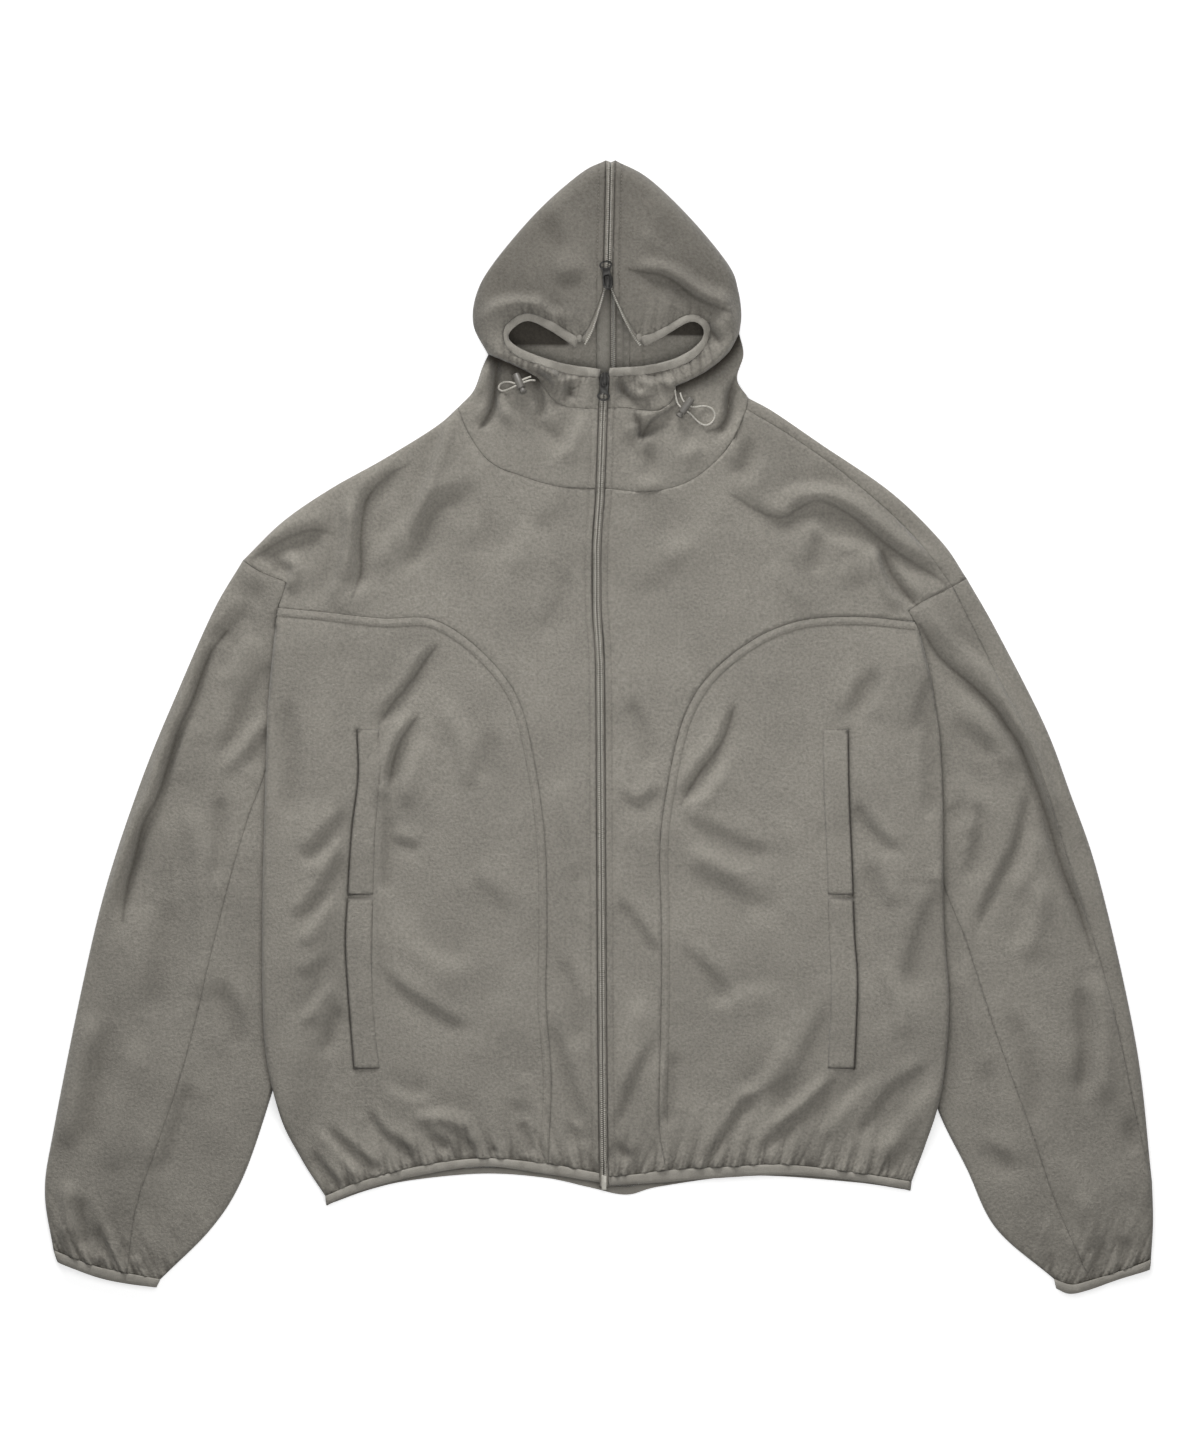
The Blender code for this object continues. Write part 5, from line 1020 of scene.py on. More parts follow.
def roll_rings(loop, layer):
    """Points on rings just inside the rolled stretches of an outline."""
    gap, radius, _ = layer.edge(loop)
    rolled = gap < 0.4
    rings = [np.zeros((0, 2))]
    for share in (0.06, 0.2, 0.42, 0.7):
        ring = (loop + inward_of(loop) * (share * radius)[:, None])[rolled]
        if len(ring):
            clear = nearest(ring, np.vstack([loop, loop[:1]]))[0] > 0.85 * share * radius[rolled]
            rings.append(ring[clear])
    return np.vstack(rings)


def grid_points(loop, spacing):
    low = loop.min(0)
    high = loop.max(0)
    points = [(x, y) for row, y in enumerate(np.arange(low[1] + spacing / 2, high[1], spacing * 0.87))
              for x in np.arange(low[0] + (row % 2) * spacing / 2, high[0], spacing)]
    return np.array(points).reshape(-1, 2)


def thinned(points, gap):
    """Drops every point that is closer than the gap to an earlier one."""
    tree = kdtree.KDTree(len(points))
    for index, (x, y) in enumerate(points):
        tree.insert((x, y, 0), index)
    tree.balance()
    keep = np.ones(len(points), bool)
    for index, (x, y) in enumerate(points):
        if keep[index]:
            for _, other, _ in tree.find_range((x, y, 0), gap):
                keep[other] = keep[other] and other <= index
    return points[keep]


def link_mesh(name, points, faces, material, values=None):
    """A smooth mesh piece from points in millimetres, with optional values per point."""
    mesh = bpy.data.meshes.new(name)
    mesh.from_pydata((np.asarray(points) * MM).tolist(), [], [list(map(int, f)) for f in faces])
    mesh.materials.append(material)
    mesh.shade_smooth()
    for label, per_point in (values or {}).items():
        mesh.attributes.new(label, "FLOAT", "POINT").data.foreach_set("value", per_point)
    piece = bpy.data.objects.new(name, mesh)
    bpy.context.scene.collection.objects.link(piece)
    return piece


def wall(name, outer, faces, thick, material, lower, painted_shade):
    """A closed cloth wall: the outer face, the same face moved in, and the cut edge."""
    corners = outer[faces]
    across = np.cross(corners[:, 1] - corners[:, 0], corners[:, 2] - corners[:, 0])
    normal = np.zeros_like(outer)
    for k in range(3):
        np.add.at(normal, faces[:, k], across)
    normal /= np.maximum(np.linalg.norm(normal, axis=1), 1e-12)[:, None]
    if lower:
        normal = -normal
    count = len(outer)
    points = np.vstack([outer, outer - normal * thick])
    edges = set(map(tuple, np.vstack([faces[:, [0, 1]], faces[:, [1, 2]], faces[:, [2, 0]]]).tolist()))
    rim = [(a + count, b + count, b, a) for a, b in sorted(edges) if (b, a) not in edges]
    solid = faces.tolist() + (faces[:, ::-1] + count).tolist() + rim
    if lower:
        solid = [face[::-1] for face in solid]
    return link_mesh(name, points, solid, material, {"painted_shade": np.tile(painted_shade, 2)})


LEAST_WIDTH = 0.0101      # the narrowest strips, folded bindings and tapes, are a little under this
EASE = 1.03               # the cut is this much larger than the laid panel, for its folds
SLIM = 0.31               # a curved strip fills less than this share of its rectangle


def cut_size(loop):
    """Width and length of the smallest rectangle round a cut, and the cut's area, in metres."""
    area = abs(signed_area(loop))
    sizes = []
    for angle in np.radians(np.arange(0, 180, 3)):
        cos, sin = math.cos(angle), math.sin(angle)
        turned = loop @ np.array([[cos, -sin], [sin, cos]])
        sizes.append(np.sort(turned.max(0) - turned.min(0)))
    width, length = min(sizes, key=lambda size: size[0] * size[1])
    if area < SLIM * width * length:
        width = area / length          # a curved strip: its mean width
    width = max(float(width) * MM * EASE, LEAST_WIDTH)
    return width, float(length) * MM * EASE, area * MM * MM * EASE * EASE


def cut_sheet(name, loop, top, material, node, slot, spacing, thick, rows=(), points=None,
              lower=False):
    """A wall with the given outline, its outer face at top(xy), with points on each row."""
    closed = np.vstack([loop, loop[:1]])
    grid = grid_points(loop, spacing)
    grid = grid[inside(grid, loop)]
    kept = [np.zeros((0, 2))] if points is None else [points]
    for line in rows:
        dense = smooth_curve(line[::3] if len(line) > 30 else line, 2.8)
        grid = grid[nearest(grid, dense)[0] > 1.5]
        kept.append(dense)
    grid = grid[nearest(grid, closed)[0] > spacing * 0.5]
    extra = np.vstack(kept)
    extra = extra[inside(extra, loop)]
    if len(extra):
        extra = extra[nearest(extra, closed)[0] > 0.25]
    extra = thinned(np.vstack([extra, grid]), 0.7)
    count = len(loop)
    edges = [(i, (i + 1) % count) for i in range(count)]
    vectors = [Vector(p) for p in np.vstack([loop, extra])]
    made, _, triangles, _, _, _ = delaunay_2d_cdt(vectors, edges, [], 0, 1e-6, False)
    xy = np.array([tuple(v) for v in made])
    faces = np.array([list(f) for f in triangles])
    faces = faces[inside(xy[faces].mean(1), loop)]
    z, painted_shade = top(xy)
    piece = wall(name + "_cloth", np.column_stack([xy, z]), faces, thick, material, lower, painted_shade)
    finish(piece, slot, node)
    width, length, area = cut_size(loop)
    if area < SLIM * width * length:
        return piece                   # a sliver of tape, returned like any other piece
    return piece


PUCKER = 0.25             # small ripples beside a sewn seam
SEAM_DIP = 0.55           # how far a sewn seam draws the cloth down
TROUGH_SHADE = 0.3        # painted shade along the troughs of folds, and painted light on their ridges
PINCH_GRID = 1.8          # finer cloth beside a gathered edge
PINCH_REACH = 26.0
# painted shade in the cloth's colour along sewn seams, and in the pinches of gathered edges
SEAM_SHADE = 0.21
PINCH_SHADE = 0.75


def cloth(name, layer, parts, material, node, slot="fleece", spacing=3.8, thick=FLEECE_WALL,
          relief=None, rows=(), raised=0.0, creased=True, dark=(), pinched=(), part="", shade=None):
    """A cut panel: its outline from the seams, its form from its layer, its own details.

    Dark lines (line, strength, width) and pinched edges are painted shade in the cloth's
    colour; a negative strength is a painted highlight where the cloth stands proud.

    Returns the function that gives the panel's height, for what is sewn on it.
    """
    loop, sewn = outline(parts)
    runs = sewn_runs(loop, sewn) if creased else []
    inner_rows = [beside_line(run, offset) for run in runs for offset in (0.8, 2.2, 4.2)]
    inner_rows += [beside_line(line, offset * width) for line, _, width in dark if width < 3
                   for offset in (-1.3, 0, 1.3)]

    def top(xy):
        z = layer.surface(xy) + (-raised if layer.lower else raised)
        gap = np.full(len(xy), 1e9)
        for run in runs:
            gap = np.minimum(gap, nearest(xy, run)[0])
        sign = -1 if layer.lower else 1
        z = z - sign * SEAM_DIP * bell(gap, 2.0)
        if runs and not layer.lower:
            z = z + PUCKER * np.exp(-gap / 7) * rough(xy, 6, 41.0)
        if relief is not None:
            z = z + relief(xy)
        # painted shade: along sewn seams, on dark lines, in fold troughs, from the shade function and at
        # pinches; painted light on ridges and negative lines
        painted_shade = SEAM_SHADE * bell(gap, 1.1)
        for line, strength, width in dark:
            mark = strength * bell(nearest(xy, line)[0], width)
            painted_shade = np.maximum(painted_shade, mark) if strength > 0 else painted_shade + mark
        if part:
            painted_shade = painted_shade + TROUGH_SHADE * np.clip(-folds(xy, part) / 7, -0.25, 1)
        if shade is not None:
            painted_shade = painted_shade + shade(xy)
        for edge in pinched:
            painted_shade = np.maximum(painted_shade, PINCH_SHADE * gathered(xy, *edge)[1])
        return z, painted_shade

    points = [roll_rings(loop, layer)]
    if pinched:
        close = grid_points(loop, PINCH_GRID)
        near = np.min([nearest(close, edge[0])[0] for edge in pinched], 0) < PINCH_REACH
        points.append(close[near])
    cut_sheet(name, loop, top, material, node, slot, spacing, thick, [*inner_rows, *rows],
              np.vstack(points), layer.lower)
    return top


# Microfleece: a soft nap that pills into grains of 2 to 3 mm, with painted shade in its seams, folds and
# hollows.
FLEECE_COLOUR = (0.262, 0.246, 0.214)


def with_painted_shade(tree, colour):
    """The colour, darkened by the cloth's painted shade value, and lighter where that value is negative."""
    painted_shade = add_node(tree, "ShaderNodeAttribute", attribute_name="painted_shade").outputs["Fac"]
    painted_shade_mix = add_node(tree, "ShaderNodeMix", {}, {}, data_type="RGBA", blend_type="MULTIPLY")
    painted_shade_mix.clamp_factor = False
    tree.links.new(painted_shade, painted_shade_mix.inputs[0])
    tree.links.new(colour, painted_shade_mix.inputs[6])
    # the colour that full painted shade darkens the cloth towards
    painted_shade_mix.inputs[7].default_value = (0.3, 0.29, 0.28, 1.0)
    return painted_shade_mix.outputs[2]


def fleece(name, colour):
    made, tree, shader = principled(name, colour, 0.95, sheen=0.22, specular=0.15)
    broad = speckle(tree, 14.0, 3.0)
    grain = speckle(tree, 380.0, 3.0, 0.62)
    fuzz = speckle(tree, 1700.0, 2.0)
    low = tuple(0.9 * c for c in colour)
    high = tuple(min(1.0, 1.1 * c) for c in colour)
    mottled = tinted(tree, broad, low, high)
    pile = tinted(tree, grain, (0.82, 0.82, 0.82), (1.15, 1.15, 1.15), (0.32, 0.68))
    mixed = add_node(tree, "ShaderNodeMix", {}, {}, data_type="RGBA", blend_type="MULTIPLY")
    mixed.inputs[0].default_value = 1.0
    tree.links.new(mottled, mixed.inputs[6])
    tree.links.new(pile, mixed.inputs[7])
    tree.links.new(with_painted_shade(tree, mixed.outputs[2]), shader.inputs["Base Color"])
    first = add_node(tree, "ShaderNodeBump", {"Strength": 0.8, "Distance": 0.001}, {"Height": grain})
    bumped(tree, shader, fuzz, 0.0003, 0.5, first)
    return made


FLEECE = fleece("microfleece", FLEECE_COLOUR)
cloth("back_panel", BACK,
      parts_of("*shoulder_l armhole_back_l *tuck_l *side_l hem_back *-side_r *-tuck_r -armhole_back_r "
               "*-shoulder_r nape_out_r -nape_mid -nape_out_l"), FLEECE, "back", spacing=9.0)
cloth("back_shoulder_right", FRONT,
      parts_of("*shoulder_r armhole_out_r -shoulder_seam_r -neckstrip_r"),
      FLEECE, "back_shoulder_right")

# ---- Sleeves -------------------------------------------------------------------
# Each sleeve is a tube laid flat: an outer and a narrow inner panel on top, joined
# by a seam down the arm, and one panel underneath.  The body's sides cover their
# inner edges.  On the viewer's right a strip of the sleeve's back has rolled
# round to the top.
for side, end in HANDS:
    upper = parts_of("-step_l -armhole_l *outer_l")
    fold = parts_of("*outer_l")
    if side == "right":
        upper = parts_of("-step_r -armhole_in_r strip_r *outer_low_r")
        fold = parts_of("*outer_r *outer_low_r")
    cloth("sleeve_outer_" + side, SLEEVE, upper + parts_of("cuff_far -seam *-hidden_up -step_low", end),
          FLEECE, "sleeve_outer_" + side, part="s", dark=SLEEVE_TROUGH_SHADOWS,
          rows=[row[0] for row in SLEEVE_TROUGH_SHADOWS], pinched=CUFF_EDGES)
    cloth("sleeve_inner_" + side, SLEEVE, parts_of("*hidden_low *inner_top *inner -cuff_near -seam", end),
          FLEECE, "sleeve_inner_" + side, part="s", pinched=CUFF_EDGES)
    cloth("sleeve_under_" + side, SLEEVE_UNDER,
          fold + parts_of("cuff_far cuff_near *-inner *-inner_top -armhole_back", end),
          FLEECE, "sleeve_under_" + side, spacing=9.0)
cloth("sleeve_back_right", SLEEVE, parts_of("*outer_r -strip_r -armhole_out_r"), FLEECE,
      "sleeve_back_right")

# ---- Fronts and pocket welts ---------------------------------------------------
# Each front is a centre panel that widens into a curved yoke over the chest, and a
# side panel below it.  The seam between them is pressed towards the side and
# stitched down, which makes a flat raised band 7 mm wide.
# Two pockets stand one over the other on each side.  Each has a single folded welt,
# stitched down along its inner edge and free along the outer one, where a hand
# goes in.
BAND_NEAR = 0.9
BAND_FAR = 7.4
BAND_LIFT = 0.75
PLACKET = 10.6            # stitching beside the zip, from the chain's middle


def step_between(gap, near, far, soft=0.5):
    """1 between two distances, with soft shoulders."""
    return smoothstep((gap - near) / soft + 0.5) * (1 - smoothstep((gap - far) / soft + 0.5))


def seam_band(line):
    """Relief of the raised band along a seam."""
    def relief(xy):
        gap, _ = nearest(xy, line)
        return BAND_LIFT * step_between(gap, BAND_NEAR, BAND_FAR) - 0.35 * bell(gap - 8.1, 0.8)
    return relief


def placket(line):
    """Relief of the edge beside the zip: a folded edge and the groove of its stitching."""
    def relief(xy):
        gap, _ = nearest(xy, line)
        return 0.45 * (1 - smoothstep((gap - PLACKET + 1.0) / 0.8)) - 0.4 * bell(gap - PLACKET, 0.9)
    return relief


WELT_EDGES = {
    "left": ([(-230, -5), (-229, -49), (-235, -99), (-239, -161), (-241, -208), (-238, -260),
              (-233, -324)],
             [(-210, -2), (-208, -38), (-213, -99), (-215, -161), (-216, -241), (-213, -290),
              (-209, -325)]),
    "right": ([(211, 4), (212, -61), (215, -127), (217, -196), (219, -251), (216, -324)],
              [(235, 1), (236, -62), (239, -135), (241, -196), (244, -244), (241, -327)]),
}
WELT_SPANS = {"upper": (-160.0, -3.0), "lower": (-325.0, -163.0)}
WELT_LIFT = 1.9
WELT_THICK = 1.5
WELT_FOOT = 0.35          # how high it stands where it is stitched down
MOUTH_REACH = 1.5         # half the width of the dark slit beside a welt
MOUTH_DEPTH = 2.6


def welt_edges(side, low, high):
    """The mouth edge and the stitched edge of a welt, from the bottom up."""
    ys = np.linspace(low, high, 60)
    lines = []
    for table in WELT_EDGES[side]:
        traced = smooth_curve(sorted(table, key=lambda point: point[1]), 4.0)
        lines.append(np.column_stack([np.interp(ys, traced[:, 1], traced[:, 0]), ys]))
    return lines if side == "left" else lines[::-1]


def mouths(side):
    """Relief of the slits beside both welts of a side, and of the stitching round them."""
    lines = [welt_edges(side, *span)[0] for span in WELT_SPANS.values()]

    def relief(xy):
        total = np.zeros(len(xy))
        for line in lines:
            gap, _ = nearest(xy, line)
            total -= MOUTH_DEPTH * bell(gap, MOUTH_REACH) + 0.35 * bell(gap - 4.2, 0.9)
        return total
    return relief


def zip_marks(line):
    """Painted shade: dark lines along a zip, at its stitching and at the fleece's edges beside the coil."""
    return [(beside_line(line, offset), strength, 0.8)
            for offset, strength in ((-PLACKET, 0.3), (PLACKET, 0.3), (-ZIP_REACH, 0.7), (ZIP_REACH, 0.7))]


FRONT_LINE = smooth_curve(FRONT_ZIP, 3.0)
HOOD_LINE = smooth_curve(HOOD_ZIP, 3.0)
ZIP_DARK = zip_marks(FRONT_LINE)
HOOD_DARK = zip_marks(HOOD_LINE)
# The height functions of finished panels, for what is sewn on them.
SIDE_TOPS = {}
CENTRE_TOPS = {}
COLLAR_TOPS = {}
HOOD_TOPS = {}
for side, end, sign in (("left", "_l", 1), ("right", "_r", -1)):
    yoke = SEAM_LINES["yoke" + end]
    band_rows = [beside_line(yoke, -sign * offset) for offset in (0.5, 1.3, 7.0, 7.8, 8.6)]
    mouth_rows = [welt_edges(side, *span)[0] + [offset, 0] for span in WELT_SPANS.values()
                  for offset in (-2.6, -1.3, -0.5, 0.3, 1.2)]
    # painted shadow in the pocket mouths; painted shade along the band's stitching and a painted highlight
    # along the band
    mouth_shadows = [(welt_edges(side, *span)[0], 1.0, 1.3) for span in WELT_SPANS.values()]
    band_shade_and_highlight = [(beside_line(yoke, -sign * 7.9), 0.2, 0.9), (beside_line(yoke, -sign * 4.2), -0.16, 3.2)]
    SIDE_TOPS[end] = cloth(
        "front_side_" + side, FRONT, parts_of("yoke -hem_out *-side *-lip_side -step_low", end),
        FLEECE, "front_side_" + side, rows=band_rows + mouth_rows,
        relief=lambda xy, a=seam_band(yoke), b=mouths(side): a(xy) + b(xy),
        dark=[*mouth_shadows, *band_shade_and_highlight, *FRONT_TROUGH_SHADOWS], part="b", pinched=HEM_EDGES)
    shoulder = parts_of("*shoulder_l armhole_l" if side == "left" else "shoulder_seam_r armhole_in_r")
    placket_rows = [beside_line(FRONT_LINE, sign * offset) for offset in (9.4, 10.2, 11.0, 11.9)]
    CENTRE_TOPS[end] = cloth(
        "front_centre_" + side, FRONT,
        [*parts_of("zip_body -neckseam", end), *shoulder, *parts_of("step yoke hem_in", end)],
        FLEECE, "front_centre_" + side, relief=placket(FRONT_LINE), rows=placket_rows,
        dark=[*ZIP_DARK, *FRONT_TROUGH_SHADOWS], part="b", pinched=HEM_EDGES)
    for level, span in WELT_SPANS.items():
        mouth, stitched = welt_edges(side, *span)
        loop = np.vstack([mouth, stitched[::-1]])
        if signed_area(loop) < 0:
            loop = loop[::-1]

        def welt_top(xy, mouth=mouth, stitched=stitched, span=span, side_top=SIDE_TOPS[end]):
            base = side_top(xy)[0]
            free, _ = nearest(xy, mouth)
            held, _ = nearest(xy, stitched)
            ends = np.minimum(np.abs(xy[:, 1] - span[0]), np.abs(xy[:, 1] - span[1]))
            lift = WELT_FOOT + (WELT_LIFT - WELT_FOOT) * smoothstep(held / 3.0) + 0.8 * bell(free, 5)
            lift -= 0.7 * bell(free, 0.7) + 0.5 * bell(ends, 1.2)
            lift -= 0.35 * bell(held - 3.4, 0.8)
            slit = MOUTH_DEPTH * bell(free, MOUTH_REACH)
            # painted shade in the welt's colour: a shadow in the mouth, and shade along the stitched edge
            # and at the ends
            shade = bell(free, 0.9) + 0.3 * bell(held, 0.8)
            shade = np.maximum(shade, 0.6 * bell(ends, 1.0))
            return base + slit + lift + 0.2 * rough(xy, 9, 51.0), shade

        across = stitched[0, 0] - mouth[0, 0]
        rows = [mouth + [step * across / 20, 0] for step in (0.8, 2.0, 17.0, 18.6)]
        name = "pocket_welt_" + level + "_" + side
        cut_sheet(name, loop, welt_top, FLEECE, name, "fleece", 3.4, WELT_THICK, rows)

# ---- Collar --------------------------------------------------------------------
# A standing collar, laid flat.  Its upper edge runs under the hood's rolled front.
for side, end in HANDS:
    # painted shadow on the collar under the hood's rolled edge
    roll_shadow = (SEAM_LINES["roll" + end], 1.25, 9.0)
    COLLAR_TOPS[end] = cloth(
        "collar_" + side, NECK,
        parts_of("neckstrip_r" if side == "right" else "")
        + parts_of("neckseam zip_collar -channel *-under *neckside", end),
        FLEECE, "collar_" + side, relief=placket(FRONT_LINE),
        dark=[*ZIP_DARK, roll_shadow, *NECK_TROUGH_SHADOWS], part="n")

# ---- Hood ----------------------------------------------------------------------
# The hood is up and zipped at its crown.  Its back lies on the table, inside out,
# and its front comes forward over the collar in a rolled edge.
# a lighter copy of the fleece: painted light for the inside of the hood's back, which also carries painted
# shadow
LIGHTENED_INSIDE_FLEECE = fleece("microfleece_inside_lightened", tuple(1.1 * c for c in FLEECE_COLOUR))


def in_shadow(xy):
    """The inside of the back is darkest deep inside, on both sides of its tapes."""
    x, y = xy.T
    left = smoothstep((-27 - x) / 6) * smoothstep((y - 359) / 4)
    right = smoothstep((x - 50) / 6) * smoothstep((y - 369) / 3)
    seams = sum(bell(x - at, 0.8) for at in (-26.5, 41.5))
    return 1.12 * (left + right) + 0.35 * seams


def crown_shade(xy):
    """The hood turns away from the light towards its crown."""
    return 0.42 * smoothstep((xy[:, 1] - 350) / 70)


for side, end in HANDS:
    cloth("hood_back_" + side, HOOD_BACK, parts_of("*hood *neckside nape_out *back_zip *crown_back", end),
          LIGHTENED_INSIDE_FLEECE, "hood_back_" + side, slot="fleece_inside", spacing=2.6, shade=in_shadow)
    HOOD_TOPS[end] = cloth(
        "hood_" + side, HOOD, parts_of("zip_hood vee face -zip_chin -channel *-roll *-hood", end),
        FLEECE, "hood_" + side, spacing=3.0, relief=placket(HOOD_LINE),
        dark=[*ZIP_DARK, *HOOD_DARK, *HOOD_TROUGH_SHADOWS], part="h", pinched=FACE_EDGES, shade=crown_shade)

# ---- Hem, cuffs and face opening -----------------------------------------------
# Smooth elastic binding, 9 mm wide when folded round the fleece's raw edge and
# stitched through.  It pulls the cloth into gathers and lies flat itself.
BINDING_WALL = 2.2
BINDING_EVENS = 0.8       # the share of the cloth's gathers that the binding does not follow
BINDING, binding_tree, binding_shader = principled("elastic_binding", (0.31, 0.292, 0.257), 0.85,
                                                   sheen=0.12, specular=0.25)
yarns = speckle(binding_tree, 900.0, 2.0)
wear = speckle(binding_tree, 55.0, 2.0)
tone = tinted(binding_tree, wear, (0.285, 0.268, 0.235), (0.335, 0.316, 0.279))
knit = add_node(binding_tree, "ShaderNodeMix", {0: 1.0}, {6: tone}, data_type="RGBA",
                blend_type="MULTIPLY")
binding_tree.links.new(tinted(binding_tree, yarns, (0.9, 0.9, 0.9), (1.06, 1.06, 1.06)), knit.inputs[7])
binding_tree.links.new(knit.outputs[2], binding_shader.inputs["Base Color"])
bumped(binding_tree, binding_shader, yarns, 0.0004, 0.5)


def rounded_strip(seam_line, free_line, flatten=None):
    """Relief of a bound edge: round along both sides, and flat where the cloth is gathered."""
    def relief(xy):
        seam_gap, _ = nearest(xy, seam_line)
        free_gap, _ = nearest(xy, free_line)
        fall = -0.75 * bell(seam_gap, 0.9) - 1.3 * bell(free_gap, 1.1)
        return fall if flatten is None else fall - flatten(xy)
    return relief


def bound_edge(name, layer, parts, seam_line, free_line, flatten=None, lower=False):
    rows = [beside_line(line, offset) for line in (seam_line, free_line)
            for offset in (-0.6, 0.6, -1.6, 1.6)]
    relief = None if lower else rounded_strip(seam_line, free_line, flatten)
    return cloth(name, layer, parts, BINDING, name, slot="binding", spacing=3.0, thick=BINDING_WALL,
                 relief=relief, rows=rows, raised=0.0 if lower else 0.35, creased=False)


def hem_gathers(xy):
    return BINDING_EVENS * sum(gathered(xy, *edge)[0] for edge in HEM_EDGES)


for side, end in HANDS:
    bound_edge("hem_front_" + side, FRONT, parts_of("hem_out hem_in *cap_low *-low *-cap_hem", end),
               joined("hem_out", "hem_in", end=end), SEAM_LINES["low" + end], hem_gathers)
    cuff = parts_of("cuff_far cuff_near *cap_in *-cuff_low *-cap_out", end)
    cuff_seam = joined("cuff_far", "cuff_near", end=end)
    cuff_free = SEAM_LINES["cuff_low" + end]
    edge = CUFF_EDGES[0] if side == "left" else CUFF_EDGES[1]
    bound_edge("cuff_top_" + side, SLEEVE, cuff, cuff_seam, cuff_free,
               lambda xy, edge=edge: BINDING_EVENS * gathered(xy, *edge)[0])
    bound_edge("cuff_under_" + side, SLEEVE_UNDER, cuff, cuff_seam, cuff_free, lower=True)
    bound_edge("face_binding_" + side, HOOD, parts_of("face *cap_zip *-lip -cap_face", end),
               SEAM_LINES["face" + end], SEAM_LINES["lip" + end])
bound_edge("hem_back", BACK, parts_of("hem_back *cap_back_r *-low_back *-cap_back_l"),
           SEAM_LINES["hem_back"], SEAM_LINES["low_back"], lower=True)

# ---- Zips ----------------------------------------------------------------------
# Coil zips: moulded nylon loops sewn on woven tape.  The front one is closed up to
# the chin.  The hood's is closed from the crown down to its slider, and below that
# its two free tapes open in a V.  The same chain shows on the inside of the back.
COIL_PITCH = 1.9
COIL_LOOP = (1.95, 1.15, 1.35)        # one loop: across, along and over the tape
FREE_LOOP = (2.9, 1.25, 1.6)          # the same where the tapes are open and turned up
TAB_SIZE = (6.6, 7.4, 3.2)            # a folded end of binding
COIL_REACH = 1.32                     # a row's middle, from the chain's middle
COIL_DROP = 0.75
TAPE_DROP = 1.3                       # the tape lies this far under the fleece's top
TAPE_GRID = 2.6
TAPE_WALL = 0.7
COIL, *_ = grained("nylon_coil", (0.52, 0.5, 0.44), 0.38, (0.43, 0.41, 0.36), (0.6, 0.58, 0.52),
                   700.0, 1.0)
TAPE, tape_tree, tape_shader = principled("zip_tape", (0.31, 0.293, 0.256), 0.85, sheen=0.1, specular=0.2)
twill = speckle(tape_tree, 1500.0, 1.0)
woven = tinted(tape_tree, twill, (0.27, 0.254, 0.222), (0.35, 0.332, 0.292))
tape_tree.links.new(with_painted_shade(tape_tree, woven), tape_shader.inputs["Base Color"])
bumped(tape_tree, tape_shader, twill, 0.00025)


def beads_tree():
    """Geometry Nodes: small round beads set along every line of the mesh."""
    tree = bpy.data.node_groups.new("beads_on_lines", "GeometryNodeTree")
    for label, kind in (("Lines", "NodeSocketGeometry"), ("Spacing", "NodeSocketFloat"),
                        ("Bead Size", "NodeSocketVector"), ("Finish", "NodeSocketMaterial")):
        tree.interface.new_socket(label, in_out="INPUT", socket_type=kind)
    tree.interface.new_socket("Beads", in_out="OUTPUT", socket_type="NodeSocketGeometry")
    given = add_node(tree, "NodeGroupInput").outputs
    curve = add_node(tree, "GeometryNodeMeshToCurve", {}, {"Mesh": given["Lines"]})
    even = add_node(tree, "GeometryNodeResampleCurve", {}, {"Curve": curve.outputs[0]}, mode="LENGTH")
    tree.links.new(given["Spacing"], even.inputs["Length"])
    tangent = add_node(tree, "GeometryNodeInputTangent")
    turn = add_node(tree, "FunctionNodeAlignRotationToVector", {}, {"Vector": tangent.outputs[0]}, axis="Y")
    bead = add_node(tree, "GeometryNodeMeshUVSphere", {"Segments": 8, "Rings": 4, "Radius": 0.5})
    placed = add_node(tree, "GeometryNodeInstanceOnPoints", {},
                      {"Points": even.outputs[0], "Instance": bead.outputs[0],
                       "Rotation": turn.outputs[0], "Scale": given["Bead Size"]})
    real = add_node(tree, "GeometryNodeRealizeInstances", {}, {0: placed.outputs[0]})
    smooth = add_node(tree, "GeometryNodeSetShadeSmooth", {}, {0: real.outputs[0]})
    done = add_node(tree, "GeometryNodeSetMaterial", {},
                    {0: smooth.outputs[0], "Material": given["Finish"]})
    add_node(tree, "NodeGroupOutput", {}, {"Beads": done.outputs[0]})
    return tree


BEADS = beads_tree()


def beads(name, lines, spacing, size, material):
    """One plain mesh of beads along lines of (x, y, z) points, all in millimetres."""
    points = np.vstack(lines) * MM
    edges = []
    first = 0
    for line in lines:
        edges += [(first + i, first + i + 1) for i in range(len(line) - 1)]
        first += len(line)
    mesh = bpy.data.meshes.new(name + "_lines")
    mesh.from_pydata(points.tolist(), edges, [])
    carrier = bpy.data.objects.new(name + "_lines", mesh)
    bpy.context.scene.collection.objects.link(carrier)
    maker = carrier.modifiers.new("beads", "NODES")
    maker.node_group = BEADS
    inputs = {item.name: item.identifier for item in BEADS.interface.items_tree if item.in_out == "INPUT"}
    maker[inputs["Spacing"]] = spacing * MM
    maker[inputs["Bead Size"]] = [value * MM for value in size]
    maker[inputs["Finish"]] = material
    graph = bpy.context.evaluated_depsgraph_get()
    made = bpy.data.meshes.new_from_object(carrier.evaluated_get(graph))
    bpy.data.objects.remove(carrier)
    piece = bpy.data.objects.new(name, made)
    bpy.context.scene.collection.objects.link(piece)
    return piece


def front_top(xy):
    """The front and the collar in one, for what runs over both."""
    return np.where(xy[:, 1] > 225, NECK.surface(xy), FRONT.surface(xy))


def hood_top(xy):
    return HOOD.surface(xy)


def on_top(line, top, drop=0.0):
    return np.column_stack([line, top(line) - drop])


